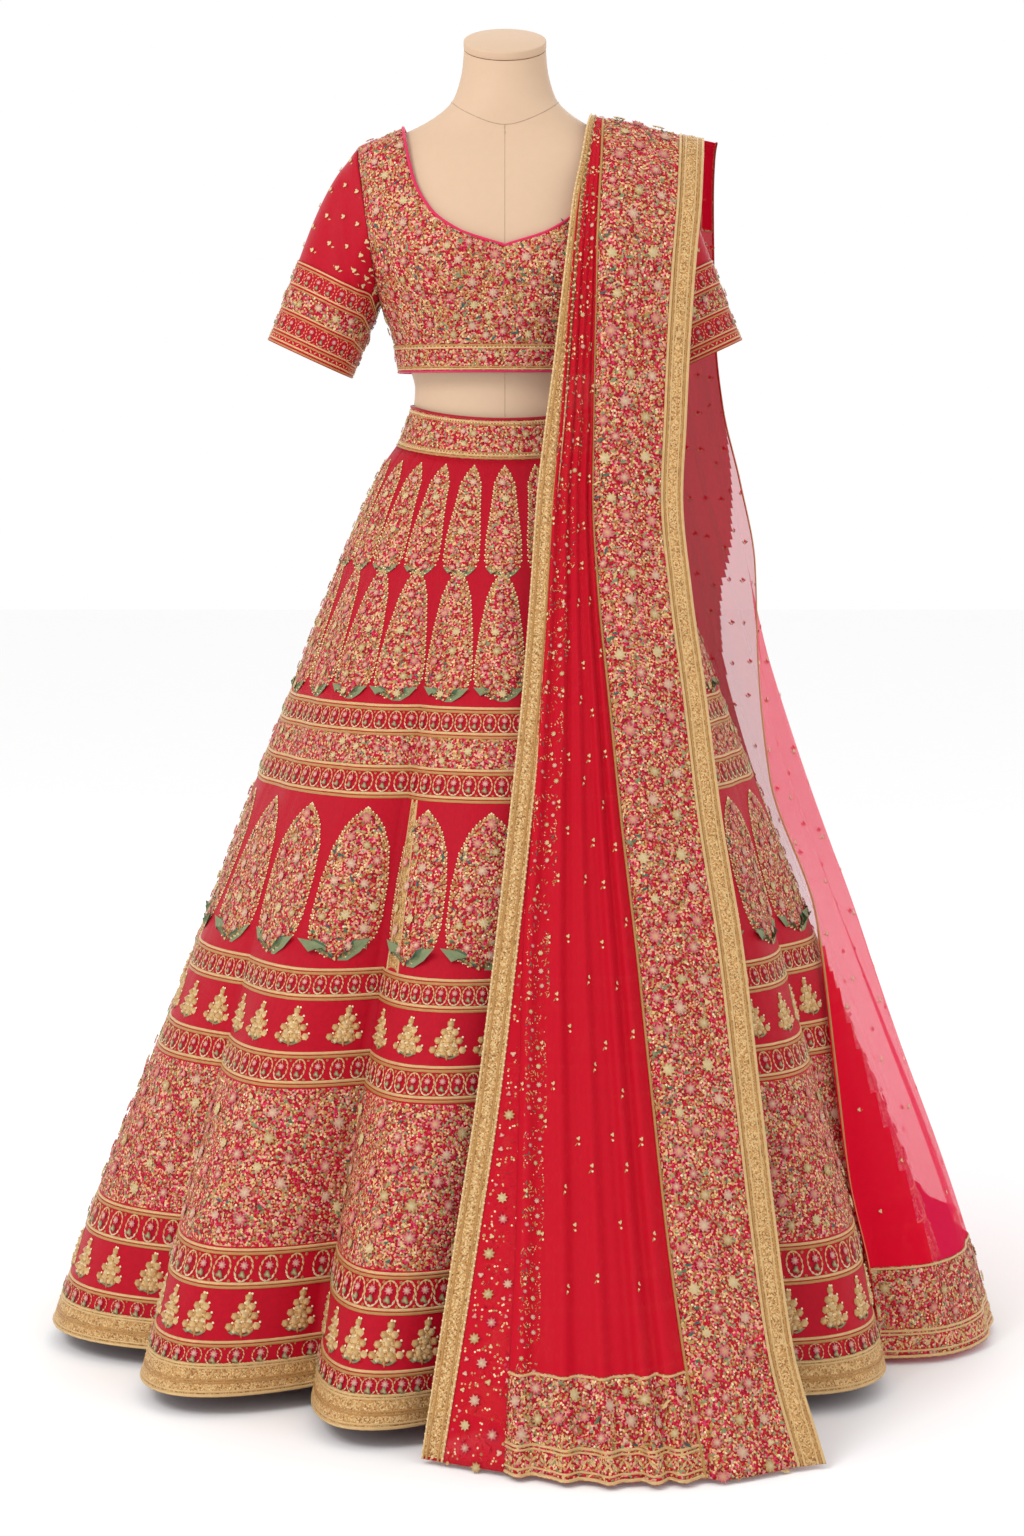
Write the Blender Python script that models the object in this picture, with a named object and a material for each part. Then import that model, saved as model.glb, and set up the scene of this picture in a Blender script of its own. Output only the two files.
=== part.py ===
"""A lehenga choli with its dupatta, worn on a limbless dress form, at real size in metres.

The origin is the centre of the underside of the form's base, +Z is up and the front faces -Y.
Angles run round the body from the front (0) to the wearer's left (90, which is +X) and the back (180).
Every cloth piece is a closed wall of its own, worked out from the tables of sizes below.
"""

import math

import bmesh
import bpy
import numpy as np

# Thicknesses and clearances
CLOTH = 0.0020
KALI_CLOTH = 0.0022
TRIM = 0.0012
SEAM = 0.0004
SKIN_GAP = 0.0004
EDGE_GAP = 0.0009

# Dress form
BASE_RADIUS = 0.200
BASE_HEIGHT = 0.008
BASE_BEVEL = 0.002
POLE_RADIUS = 0.0125
FORM_BOTTOM = 0.820
NECK_TOP = 1.544
NECK_TILT = math.radians(22.0)
NECK_TILT_START = 1.480
CAP_THICKNESS = 0.011
CAP_RADIUS = 0.0500
FORM_COLUMNS = 28

# z, half_width, front_depth, back_depth, squareness of the form
FORM_ROWS = (
    (0.820, 0.0960, 0.0690, 0.0680, 2.0),
    (0.827, 0.1180, 0.0860, 0.0850, 2.0),
    (0.850, 0.1420, 0.1030, 0.1040, 2.0),
    (0.900, 0.1600, 0.1150, 0.1170, 2.1),
    (0.960, 0.1560, 0.1110, 0.1100, 2.1),
    (1.010, 0.1430, 0.1020, 0.0970, 2.1),
    (1.055, 0.1240, 0.0920, 0.0840, 2.0),
    (1.095, 0.1122, 0.0840, 0.0770, 2.0),
    (1.114, 0.1107, 0.0825, 0.0750, 2.0),
    (1.134, 0.1092, 0.0815, 0.0740, 2.0),
    (1.160, 0.1160, 0.0850, 0.0775, 2.1),
    (1.195, 0.1280, 0.0930, 0.0830, 2.2),
    (1.235, 0.1455, 0.1075, 0.0895, 2.4),
    (1.282, 0.1640, 0.1130, 0.0935, 2.6),
    (1.330, 0.1790, 0.1075, 0.0945, 2.6),
    (1.377, 0.1785, 0.0935, 0.0895, 2.6),
    (1.402, 0.1760, 0.0835, 0.0805, 2.6),
    (1.419, 0.1715, 0.0735, 0.0700, 2.5),
    (1.431, 0.1460, 0.0640, 0.0610, 2.4),
    (1.443, 0.1190, 0.0560, 0.0530, 2.3),
    (1.455, 0.0950, 0.0550, 0.0520, 2.2),
    (1.468, 0.0760, 0.0545, 0.0520, 2.1),
    (1.482, 0.0630, 0.0530, 0.0520, 2.0),
    (1.500, 0.0560, 0.0510, 0.0510, 2.0),
    (1.520, 0.0515, 0.0500, 0.0500, 2.0),
    (1.544, 0.0495, 0.0495, 0.0495, 2.0),
)

# z, half_width, front_depth, back_depth, squareness of the choli's outer face
CHOLI_ROWS = (
    (1.153, 0.1280, 0.0970, 0.0880, 2.2),
    (1.187, 0.1340, 0.1030, 0.0910, 2.2),
    (1.210, 0.1410, 0.1080, 0.0930, 2.3),
    (1.235, 0.1510, 0.1135, 0.0950, 2.4),
    (1.282, 0.1696, 0.1190, 0.0990, 2.6),
    (1.330, 0.1848, 0.1130, 0.1000, 2.6),
    (1.377, 0.1841, 0.0990, 0.0950, 2.6),
    (1.405, 0.1815, 0.0890, 0.0860, 2.6),
    (1.424, 0.1780, 0.0790, 0.0760, 2.5),
    (1.436, 0.1515, 0.0700, 0.0670, 2.4),
    (1.448, 0.1250, 0.0615, 0.0585, 2.3),
)
BUST_HEIGHT = 1.272
BUST_ANGLE = 34.0
BUST_SPREAD = 17.0
BUST_TALL = 0.042
BUST_RISE = 0.010

# Rows of a choli panel: height at its inner edge and at its outer edge, in front and behind
FRONT_PANEL_ROWS = (
    (1.153, 1.153),
    (1.187, 1.187),
    (1.212, 1.212),
    (1.235, 1.235),
    (1.241, 1.240),
    (1.255, 1.250),
    (1.276, 1.267),
    (1.301, 1.288),
    (1.310, 1.302),
    (1.320, 1.318),
    (1.333, 1.334),
    (1.348, 1.350),
    (1.366, 1.367),
    (1.386, 1.384),
    (1.408, 1.399),
    (1.426, 1.410),
    (1.438, 1.4175),
    (1.4445, 1.4214),
    (1.4472, 1.4234),
    (1.448, 1.424),
)
BACK_PANEL_ROWS = (
    (1.153, 1.153),
    (1.187, 1.187),
    (1.212, 1.212),
    (1.235, 1.235),
    (1.242, 1.240),
    (1.258, 1.250),
    (1.290, 1.274),
    (1.328, 1.306),
    (1.362, 1.338),
    (1.366, 1.350),
    (1.373, 1.362),
    (1.383, 1.375),
    (1.397, 1.389),
    (1.414, 1.402),
    (1.428, 1.411),
    (1.438, 1.4175),
    (1.4445, 1.4214),
    (1.4472, 1.4234),
    (1.448, 1.424),
)
PANEL_COLUMNS = 8
ARMPIT = (0.1510, 1.235)
SHOULDER_TIP = (0.1780, 1.424)

# Half width of the neckline at each height, in front and behind
FRONT_NECK = ((1.301, 0.0), (1.319, 0.0536), (1.345, 0.0893), (1.381, 0.1095), (1.448, 0.1244))
BACK_NECK = ((1.362, 0.0), (1.370, 0.0500), (1.390, 0.0850), (1.415, 0.1060), (1.448, 0.1244))
PIPING_RADIUS = 0.0019
PIPING_SIDES = 6

# Sleeves, as the wearer's left one lies; the right one is its mirror image
CUFF_CENTRE = (0.237, 0.0, 1.170)
CUFF_OUTWARD = (0.909, 0.0, 0.418)
CUFF_HALF_WIDTH = 0.055
CUFF_HALF_DEPTH = 0.052
SLEEVE_SIDES = 20
SLEEVE_ROWS = (0.006, 0.14, 0.28, 0.42, 0.54, 0.70, 0.85, 1.0)
SLEEVE_BORDER_FROM = 4
SLEEVE_BORDER_LENGTH = 0.102
LEAST_BORDER_START = 0.12
CAP_FULLNESS = 0.012
FULLNESS_PEAK = 6.75

# Lehenga: waistband and skirt
BAND_TOP = 1.114
BAND_BOTTOM = 1.065
FRONT_DIP = 0.0155
SKIRT_HEM = 0.022
# z, half_width of the lobes' crests, depth over width
SKIRT_ROWS = (
    (1.120, 0.1120, 0.800),
    (1.114, 0.1135, 0.800),
    (1.065, 0.1320, 0.790),
    (1.047, 0.1450, 0.790),
    (0.900, 0.2100, 0.880),
    (0.750, 0.2680, 1.000),
    (0.656, 0.3060, 1.000),
    (0.412, 0.4040, 1.000),
    (0.168, 0.5050, 1.000),
    (0.022, 0.5540, 1.000),
)
KALI_ROW_HEIGHTS = (0.955, 0.850, 0.740, 0.620, 0.490, 0.350, 0.200, 0.058, 0.022)
KALI_COLUMNS = 4
KALIS = 24
KALI_TURN = 15.0
FIRST_VALLEY = -82.5
# Angle of each fold valley at the hem, its depth there, and the height where it begins
VALLEYS = (
    (-92.0, 0.060, 0.70),
    (-58.0, 0.092, 0.62),
    (-29.0, 0.125, 0.98),
    (-5.0, 0.080, 0.66),
    (30.0, 0.095, 0.75),
    (63.0, 0.090, 0.70),
    (92.0, 0.070, 0.66),
    (120.0, 0.100, 0.78),
    (150.0, 0.080, 0.62),
    (180.0, 0.105, 0.82),
    (210.0, 0.080, 0.66),
    (239.0, 0.095, 0.74),
)
VALLEY_GROWTH = 1.25
DRIFT_POWER = 1.5

# Dupatta, front drop from the shoulder ridge to the floor:
# z_left, z_right, x_left, x_net, x_band, x_right, y_left, y_right, belly, pleat
FRONT_DROP = (
    (1.4645, 1.4360, 0.1040, 0.1100, 0.1180, 0.2420, 0.012, 0.012, 0.000, 0.0005),
    (1.4620, 1.4310, 0.1020, 0.1090, 0.1165, 0.2400, -0.024, -0.018, 0.001, 0.0010),
    (1.4460, 1.4140, 0.0970, 0.1050, 0.1150, 0.2380, -0.056, -0.045, 0.002, 0.0015),
    (1.4080, 1.3860, 0.0900, 0.0990, 0.1130, 0.2355, -0.088, -0.068, 0.003, 0.0020),
    (1.3600, 1.3500, 0.0800, 0.0920, 0.1100, 0.2325, -0.116, -0.090, 0.004, 0.0030),
    (1.3000, 1.2980, 0.0725, 0.0860, 0.1070, 0.2265, -0.138, -0.110, 0.005, 0.0040),
    (1.2400, 1.2400, 0.0655, 0.0810, 0.1055, 0.2215, -0.144, -0.118, 0.005, 0.0050),
    (1.1700, 1.1700, 0.0575, 0.0760, 0.1040, 0.2168, -0.144, -0.124, 0.005, 0.0060),
    (1.0900, 1.0900, 0.0470, 0.0700, 0.1030, 0.2130, -0.144, -0.130, 0.005, 0.0070),
    (1.0050, 1.0050, 0.0370, 0.0620, 0.1020, 0.2086, -0.156, -0.142, 0.006, 0.0080),
    (0.9000, 0.9000, 0.0293, 0.0560, 0.1070, 0.2170, -0.208, -0.180, 0.008, 0.0090),
    (0.7800, 0.7800, 0.0192, 0.0470, 0.1180, 0.2317, -0.272, -0.226, 0.010, 0.0100),
    (0.6500, 0.6500, 0.0050, 0.0370, 0.1300, 0.2462, -0.325, -0.276, 0.012, 0.0110),
    (0.5050, 0.5050, -0.0120, 0.0260, 0.1460, 0.2675, -0.388, -0.337, 0.016, 0.0120),
    (0.3600, 0.3600, -0.0305, 0.0220, 0.1600, 0.2817, -0.450, -0.400, 0.022, 0.0130),
    (0.2200, 0.2200, -0.0530, 0.0180, 0.1740, 0.2950, -0.510, -0.470, 0.032, 0.0150),
    (0.1150, 0.1150, -0.0700, 0.0120, 0.1880, 0.3070, -0.556, -0.530, 0.050, 0.0170),
    (0.0050, 0.0050, -0.0870, 0.0073, 0.2075, 0.3380, -0.572, -0.580, 0.068, 0.0190),
)
NET_PLEATS = 5
NET_COLUMNS = 20
LEFT_COLUMNS = 2
BAND_COLUMNS = 4
BAND_STAND = 0.008
BAND_STAND_SHARE = 0.12

# Dupatta, back fall while it hangs from the shoulder:
# z_outer, z_inner, x_outer, y_outer, x_inner, y_inner, bow, pleat
BACK_HANG = (
    (1.4320, 1.4645, 0.2575, 0.0130, 0.1040, 0.0130, 0.000, 0.0005),
    (1.4230, 1.4550, 0.2575, 0.0450, 0.1050, 0.0460, 0.000, 0.0010),
    (1.3940, 1.4220, 0.2575, 0.0740, 0.1060, 0.0780, 0.002, 0.0020),
    (1.3400, 1.3600, 0.2585, 0.0930, 0.1050, 0.1030, 0.004, 0.0030),
    (1.2700, 1.2800, 0.2600, 0.0980, 0.1000, 0.1150, 0.006, 0.0040),
    (1.1900, 1.1950, 0.2620, 0.0880, 0.1020, 0.1290, 0.010, 0.0050),
    (1.1100, 1.1100, 0.2700, 0.0700, 0.1080, 0.1480, 0.016, 0.0060),
    (1.0200, 1.0200, 0.2900, 0.0510, 0.1200, 0.1740, 0.020, 0.0070),
)
# Below that it lies round the skirt: z, start_angle, end_angle, start_stand_off, end_stand_off, pleat
BACK_WRAP = (
    (0.920, 96.0, 148.0, 0.110, 0.060, 0.0080),
    (0.800, 92.0, 150.0, 0.095, 0.040, 0.0090),
    (0.660, 87.0, 152.0, 0.076, 0.028, 0.0100),
    (0.500, 78.0, 154.0, 0.058, 0.022, 0.0110),
    (0.330, 67.0, 156.0, 0.038, 0.020, 0.0120),
    (0.210, 63.0, 158.0, 0.030, 0.020, 0.0130),
    (0.115, 61.0, 159.0, 0.026, 0.020, 0.0140),
    (0.006, 60.0, 160.0, 0.026, 0.022, 0.0150),
)
BACK_PLEATS = 7
BACK_COLUMNS = 21
TUCK_ANGLE = 14.0
TUCK_CLEARANCE = 0.014
TUCK_TOP = 0.960
TUCK_REACH = 0.360

# Colours of the finishes, in linear light
CRIMSON = (0.578, 0.005, 0.027)
NET_RED = (0.600, 0.004, 0.030)
BORDER_GOLD = (0.430, 0.235, 0.085)
PIPING_PINK = (0.640, 0.030, 0.080)
FORM_BEIGE = (0.760, 0.565, 0.414)
METAL_GREY = (0.330, 0.330, 0.340)


class Curve:
    """A smooth curve through a table's rows, with no overshoot between them."""

    def __init__(self, places, values):
        order = np.argsort(places)
        self.places = np.asarray(places, dtype=float)[order]
        self.values = np.asarray(values, dtype=float)[order]
        steps = np.diff(self.places)
        slopes = np.diff(self.values) / steps
        tangents = np.zeros(len(self.places))
        tangents[0] = slopes[0]
        tangents[-1] = slopes[-1]
        for row in range(1, len(self.places) - 1):
            before, after = slopes[row - 1], slopes[row]
            if before * after > 0.0:
                tangents[row] = 2.0 * before * after / (before + after)
        self.tangents = tangents

    def __call__(self, place):
        place = min(max(place, self.places[0]), self.places[-1])
        row = min(int(np.searchsorted(self.places, place, side="right")) - 1, len(self.places) - 2)
        step = self.places[row + 1] - self.places[row]
        t = (place - self.places[row]) / step
        ease = t * t * (3.0 - 2.0 * t)
        start = t * (1.0 - t) ** 2 * step * self.tangents[row]
        end = t * t * (t - 1.0) * step * self.tangents[row + 1]
        return (1.0 - ease) * self.values[row] + ease * self.values[row + 1] + start + end


def curves_of(table):
    """One curve for each column of a table after its first, read by that first column."""
    columns = list(zip(*table))
    return [Curve(columns[0], column) for column in columns[1:]]


def mix(start, end, share):
    """The value that lies the given share of the way from start to end."""
    return start + (end - start) * share


def ease(share):
    """A share from 0 to 1 with soft ends."""
    share = min(max(share, 0.0), 1.0)
    return share * share * (3.0 - 2.0 * share)


FORM_CURVES = curves_of(FORM_ROWS)
CHOLI_CURVES = curves_of(CHOLI_ROWS)
SKIRT_WIDTH, SKIRT_RATIO = curves_of(SKIRT_ROWS)


def bust(angle, height):
    """How far the bust stands forward of the plain outline."""
    away = (abs(angle) - BUST_ANGLE) / BUST_SPREAD
    above = (height - BUST_HEIGHT) / BUST_TALL
    return BUST_RISE * math.exp(-away * away - above * above)


def outline(curves, angle, height):
    """A point of a squared ellipse round the body, at an angle from the front and a height."""
    half_width, front, back, squareness = (curve(height) for curve in curves)
    across, forward = math.sin(math.radians(angle)), math.cos(math.radians(angle))
    depth = front if forward > 0.0 else back
    share = (abs(across) / half_width) ** squareness + (abs(forward) / depth) ** squareness
    radius = share ** (-1.0 / squareness)
    if forward > 0.0:
        radius += bust(angle, height)
    return np.array((radius * across, -radius * forward, height))


def choli_point(angle, height):
    """A point of the choli's outer face."""
    return outline(CHOLI_CURVES, angle, height)


def normal_of(surface, first, second, first_step, second_step):
    """The outward direction of a surface at two of its coordinates."""
    along = surface(first + first_step, second) - surface(first - first_step, second)
    up = surface(first, second + second_step) - surface(first, second - second_step)
    outward = np.cross(along, up)
    return outward / np.linalg.norm(outward)


def choli_normal(angle, height):
    """The outward direction of the choli's face."""
    angle = min(max(angle, -179.0), 179.0)
    height = min(max(height, CHOLI_ROWS[0][0] + 0.001), CHOLI_ROWS[-1][0] - 0.001)
    return normal_of(choli_point, angle, height, 0.5, 0.001)


def armhole_width(height):
    """Distance of the armhole seam from the middle plane at a height."""
    share = (height - ARMPIT[1]) / (SHOULDER_TIP[1] - ARMPIT[1])
    return mix(ARMPIT[0], SHOULDER_TIP[0], share)


def angle_at_width(width, height, behind):
    """The angle at which the choli's face is this far from the middle plane."""
    half_width, front, back, squareness = (curve(height) for curve in CHOLI_CURVES)
    depth = back if behind else front
    share = min(width / half_width, 1.0)
    forward = depth * (1.0 - share**squareness) ** (1.0 / squareness)
    angle = math.degrees(math.atan2(share * half_width, forward))
    return 180.0 - angle if behind else angle


def edge_step(height, gap):
    """The turn, in degrees, that moves a point of the choli by a gap."""
    return math.degrees(gap / CHOLI_CURVES[0](height))


def dip(angle):
    """How far the waistband dips at the centre front."""
    return FRONT_DIP * max(math.cos(math.radians(angle)), 0.0) ** 1.5


def skirt_angle(place, height):
    """The angle of a place round the skirt, counted in kalis from the first valley."""
    top = FIRST_VALLEY + KALI_TURN * place
    lobe, share = divmod(place / 2.0, 1.0)
    turns, lobe = divmod(int(lobe), len(VALLEYS))
    start = VALLEYS[lobe][0]
    end = VALLEYS[lobe + 1][0] if lobe + 1 < len(VALLEYS) else VALLEYS[0][0] + 360.0
    hem = mix(start, end, share) + 360.0 * turns
    down = min(max((BAND_BOTTOM - height) / (BAND_BOTTOM - SKIRT_HEM), 0.0), 1.0)
    return mix(top, hem, down**DRIFT_POWER)


def valley_depth(valley, height):
    """How deep a fold valley is at a height."""
    depth, start = VALLEYS[valley % len(VALLEYS)][1:]
    return depth * max(1.0 - height / start, 0.0) ** VALLEY_GROWTH


def fold(place, height):
    """How far the skirt lies inside its crests at a place, which is a kali count."""
    lobe, share = divmod(place / 2.0, 1.0)
    near_start = max(1.0 - math.sin(math.pi * min(share, 0.5)), 0.0)
    near_end = max(1.0 - math.sin(math.pi * min(1.0 - share, 0.5)), 0.0)
    return valley_depth(int(lobe), height) * near_start + valley_depth(int(lobe) + 1, height) * near_end


def round_skirt(radius, angle, height):
    """A point at a radius round the skirt, flattened towards the waist."""
    turn = math.radians(angle)
    return np.array((radius * math.sin(turn), -radius * SKIRT_RATIO(height) * math.cos(turn), height))


def skirt_point(place, height):
    """A point of the skirt's outer face."""
    return round_skirt(SKIRT_WIDTH(height) - fold(place, height), skirt_angle(place, height), height)


def place_at_angle(angle, height):
    """The place round the skirt, in kalis, that lies at an angle."""
    low, high = -float(KALIS), 2.0 * KALIS
    for _ in range(30):
        middle = (low + high) / 2.0
        if skirt_angle(middle, height) < angle:
            low = middle
        else:
            high = middle
    return low


def outward(point):
    """The level direction from the middle axis to a point."""
    flat = np.array((point[0], point[1], 0.0))
    return flat / np.linalg.norm(flat)


def finish(name, colour, roughness, metallic=0.0):
    """A plain material of one finish."""
    material = bpy.data.materials.get(name) or bpy.data.materials.new(name)
    material.use_nodes = True
    shader = material.node_tree.nodes["Principled BSDF"]
    shader.inputs["Base Color"].default_value = (*colour, 1.0)
    shader.inputs["Roughness"].default_value = roughness
    shader.inputs["Metallic"].default_value = metallic
    material.diffuse_color = (*colour, 1.0)
    return material


def add_object(name, shape, material):
    """Puts a finished mesh in the scene as one sub-part."""
    bmesh.ops.recalc_face_normals(shape, faces=shape.faces)
    mesh = bpy.data.meshes.new(name)
    shape.to_mesh(mesh)
    shape.free()
    mesh.shade_smooth()
    mesh.set_sharp_from_angle(angle=math.radians(40.0))
    mesh.materials.append(material)
    made = bpy.data.objects.new(name, mesh)
    bpy.context.scene.collection.objects.link(made)
    return made


def cloth_wall(name, outer, inner, quads, material):
    """A closed wall between two copies of one net of quads, with a strip along every free edge."""
    shape = bmesh.new()
    front = [shape.verts.new(point) for point in outer]
    behind = [shape.verts.new(point) for point in inner]
    directed = set()
    for a, b, c, d in quads:
        directed.update(((a, b), (b, c), (c, d), (d, a)))
        for corners in ((a, b, c), (a, c, d)):
            shape.faces.new([front[corner] for corner in corners])
            shape.faces.new([behind[corner] for corner in reversed(corners)])
    for a, b in sorted(directed):
        if (b, a) not in directed:
            shape.faces.new((front[b], front[a], behind[a]))
            shape.faces.new((front[b], behind[a], behind[b]))
    return add_object(name, shape, material)


def grid_quads(rows, columns, closed=False):
    """The quads of a grid whose points are listed row by row."""
    last = columns if closed else columns - 1
    quads = []
    for row in range(rows - 1):
        for column in range(last):
            following = (column + 1) % columns
            start = row * columns
            quads.append((start + column, start + following, start + columns + following, start + columns + column))
    return quads


def grid_wall(name, grid, directions, low, high, material, closed=False):
    """A cloth wall from a grid of points, from low to high along each point's direction."""
    points = [point for row in grid for point in row]
    away = [direction for row in directions for direction in row]
    outer = [point + high * direction for point, direction in zip(points, away)]
    inner = [point + low * direction for point, direction in zip(points, away)]
    quads = grid_quads(len(grid), len(grid[0]), closed)
    return cloth_wall(name, outer, inner, quads, material)


def grid_directions(grid):
    """The outward direction at each point of an open grid, from its neighbours."""
    rows, columns = len(grid), len(grid[0])
    directions = []
    for row in range(rows):
        line = []
        for column in range(columns):
            along = grid[row][min(column + 1, columns - 1)] - grid[row][max(column - 1, 0)]
            down = grid[min(row + 1, rows - 1)][column] - grid[max(row - 1, 0)][column]
            away = np.cross(down, along)
            line.append(away / np.linalg.norm(away))
        directions.append(line)
    return directions


def ring_stack(name, rings, material):
    """A closed body from a stack of rings, with a flat face at each end."""
    shape = bmesh.new()
    loops = [[shape.verts.new(point) for point in ring] for ring in rings]
    for lower, upper in zip(loops, loops[1:]):
        for column, start in enumerate(lower):
            following = (column + 1) % len(lower)
            shape.faces.new((start, lower[following], upper[following], upper[column]))
    shape.faces.new(list(reversed(loops[0])))
    shape.faces.new(loops[-1])
    return add_object(name, shape, material)


def neck_slope(height):
    """How far the neck's rings lean forward, from none to the slope of its top."""
    share = (height - NECK_TILT_START) / (NECK_TOP - NECK_TILT_START)
    return math.tan(NECK_TILT) * ease(share)


def build_form():
    """The torso with its neck, the neck's cap, the pole and the base."""
    skin = finish("form_skin", FORM_BEIGE, 0.45)
    metal = finish("form_metal", METAL_GREY, 0.4, 0.9)
    heights = [row[0] for row in FORM_ROWS]
    rings = []
    for height in heights:
        ring = []
        for column in range(FORM_COLUMNS):
            point = outline(FORM_CURVES, 360.0 * column / FORM_COLUMNS - 180.0, height)
            point[2] += point[1] * neck_slope(height)
            ring.append(point)
        rings.append(ring)
    ring_stack("form_torso", rings, skin)
    cap = []
    for rise, radius in ((SEAM, 0.047), (0.0016, CAP_RADIUS), (CAP_THICKNESS - 0.0016, CAP_RADIUS), (CAP_THICKNESS, 0.0475)):
        ring = []
        for column in range(FORM_COLUMNS):
            turn = 2.0 * math.pi * column / FORM_COLUMNS - math.pi
            forward = -radius * math.cos(turn)
            rise_off = rise * math.cos(NECK_TILT)
            lean = -rise * math.sin(NECK_TILT)
            height = NECK_TOP + rise_off + forward * math.tan(NECK_TILT)
            ring.append((radius * math.sin(turn), forward + lean, height))
        cap.append(ring)
    ring_stack("form_neck_cap", cap, skin)
    round_stack("form_pole", ((BASE_HEIGHT + SEAM, POLE_RADIUS), (FORM_BOTTOM - SEAM, POLE_RADIUS)), 16, metal)
    base = ((0.0, BASE_RADIUS), (BASE_HEIGHT - BASE_BEVEL, BASE_RADIUS), (BASE_HEIGHT, BASE_RADIUS - BASE_BEVEL))
    round_stack("form_base", base, 40, metal)


def round_stack(name, rows, sides, material):
    """A turned body from rows of height and radius."""
    rings = []
    for height, radius in rows:
        turns = [2.0 * math.pi * side / sides for side in range(sides)]
        rings.append([(radius * math.sin(turn), -radius * math.cos(turn), height) for turn in turns])
    return ring_stack(name, rings, material)


def neck_half_width(table, height):
    """Half width of the neckline at a height, with a rounded scoop between its table's rows."""
    return Curve(*zip(*table))(height)


def joined_rows(rows, neck):
    """How many of a panel's rows reach its middle, below the neckline."""
    return sum(1 for row in rows if row[0] <= neck[0][0])


def panel_corner(rows, neck, behind, row, side_gap, middle_gap):
    """The inner and the outer end of one row of a half panel, each as an angle and a height."""
    inner_height, outer_height = rows[row]
    middle = 180.0 if behind else 0.0
    sign = -1.0 if behind else 1.0
    if inner_height <= neck[0][0]:
        inner = middle + sign * math.degrees(middle_gap / CHOLI_CURVES[1](inner_height))
    else:
        inner = angle_at_width(neck_half_width(neck, inner_height), inner_height, behind)
    if outer_height <= ARMPIT[1]:
        outer = 90.0 - sign * edge_step(outer_height, side_gap)
    else:
        outer = angle_at_width(armhole_width(outer_height), outer_height, behind)
    if row == len(rows) - 1:
        inner = 90.0 - sign * edge_step(inner_height, side_gap)
        outer = 90.0 - sign * edge_step(outer_height, side_gap)
    return (inner, inner_height), (outer, outer_height)


def half_panel(rows, neck, behind, side, middle_gap):
    """The angles and heights of a half panel's grid, from its middle to its side."""
    lines = []
    for row in range(len(rows)):
        inner, outer = panel_corner(rows, neck, behind, row, SEAM / 2.0, middle_gap)
        line = []
        for column in range(PANEL_COLUMNS):
            share = column / (PANEL_COLUMNS - 1)
            line.append((side * mix(inner[0], outer[0], share), mix(inner[1], outer[1], share)))
        lines.append(line)
    return lines


def choli_wall(name, places, quads, low, high, material):
    """A wall on the choli's face, from its places as angles and heights."""
    points = [choli_point(*place) for place in places]
    away = [choli_normal(*place) for place in places]
    outer = [point + high * direction for point, direction in zip(points, away)]
    inner = [point + low * direction for point, direction in zip(points, away)]
    return cloth_wall(name, outer, inner, quads, material)


def build_choli_front(material):
    """The front, in one piece up to the neckline's point and then two straps."""
    left = half_panel(FRONT_PANEL_ROWS, FRONT_NECK, False, 1.0, 0.0)
    right = half_panel(FRONT_PANEL_ROWS, FRONT_NECK, False, -1.0, 0.0)
    joined = joined_rows(FRONT_PANEL_ROWS, FRONT_NECK)
    places = [place for line in left for place in line]
    numbers = []
    for row, line in enumerate(right):
        first = [row * PANEL_COLUMNS] if row < joined else [len(places)]
        if row >= joined:
            places.append(line[0])
        numbers.append(first + list(range(len(places), len(places) + PANEL_COLUMNS - 1)))
        places.extend(line[1:])
    quads = grid_quads(len(left), PANEL_COLUMNS)
    for lower, upper in zip(numbers, numbers[1:]):
        for column in range(PANEL_COLUMNS - 1):
            quads.append((lower[column + 1], lower[column], upper[column], upper[column + 1]))
    return choli_wall("choli_front", places, quads, -CLOTH, 0.0, material)


def build_choli_back(name, side, material):
    """One of the two backs, which meet at the centre back."""
    lines = half_panel(BACK_PANEL_ROWS, BACK_NECK, True, side, SEAM / 2.0)
    places = [place for line in lines for place in line]
    quads = grid_quads(len(lines), PANEL_COLUMNS)
    return choli_wall(name, places, quads, -CLOTH, 0.0, material)


def band_angles():
    """The angles of the panels' columns, all round the choli's hem, from -180 to 180."""
    step = 90.0 / (PANEL_COLUMNS - 1)
    return [step * column - 180.0 for column in range(4 * (PANEL_COLUMNS - 1))]


def build_hem_band(material):
    """The border sewn round the choli's hem, over the panels."""
    heights = (FRONT_PANEL_ROWS[0][0], FRONT_PANEL_ROWS[1][0])
    grid = [[choli_point(angle, height) for angle in band_angles()] for height in heights]
    away = [[choli_normal(angle, height) for angle in band_angles()] for height in heights]
    grid_wall("choli_hem_band", grid, away, SKIN_GAP, SKIN_GAP + TRIM, material, closed=True)


def neckline_half(rows, neck, behind):
    """The corners of a half panel along its neckline, from its middle up to just below the shoulder."""
    joined = joined_rows(rows, neck)
    return [panel_corner(rows, neck, behind, row, 0.0, 0.0)[0] for row in range(joined - 1, len(rows) - 1)]


def neckline_path():
    """Places of the whole neckline as angles and heights: front, then back, and round again."""
    front = neckline_half(FRONT_PANEL_ROWS, FRONT_NECK, False)
    back = neckline_half(BACK_PANEL_ROWS, BACK_NECK, True)
    shoulder = (90.0, FRONT_NECK[-1][0])
    left = front + [shoulder] + back[::-1]
    return left + [(-angle, height) for angle, height in left[-2:0:-1]]


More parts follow.
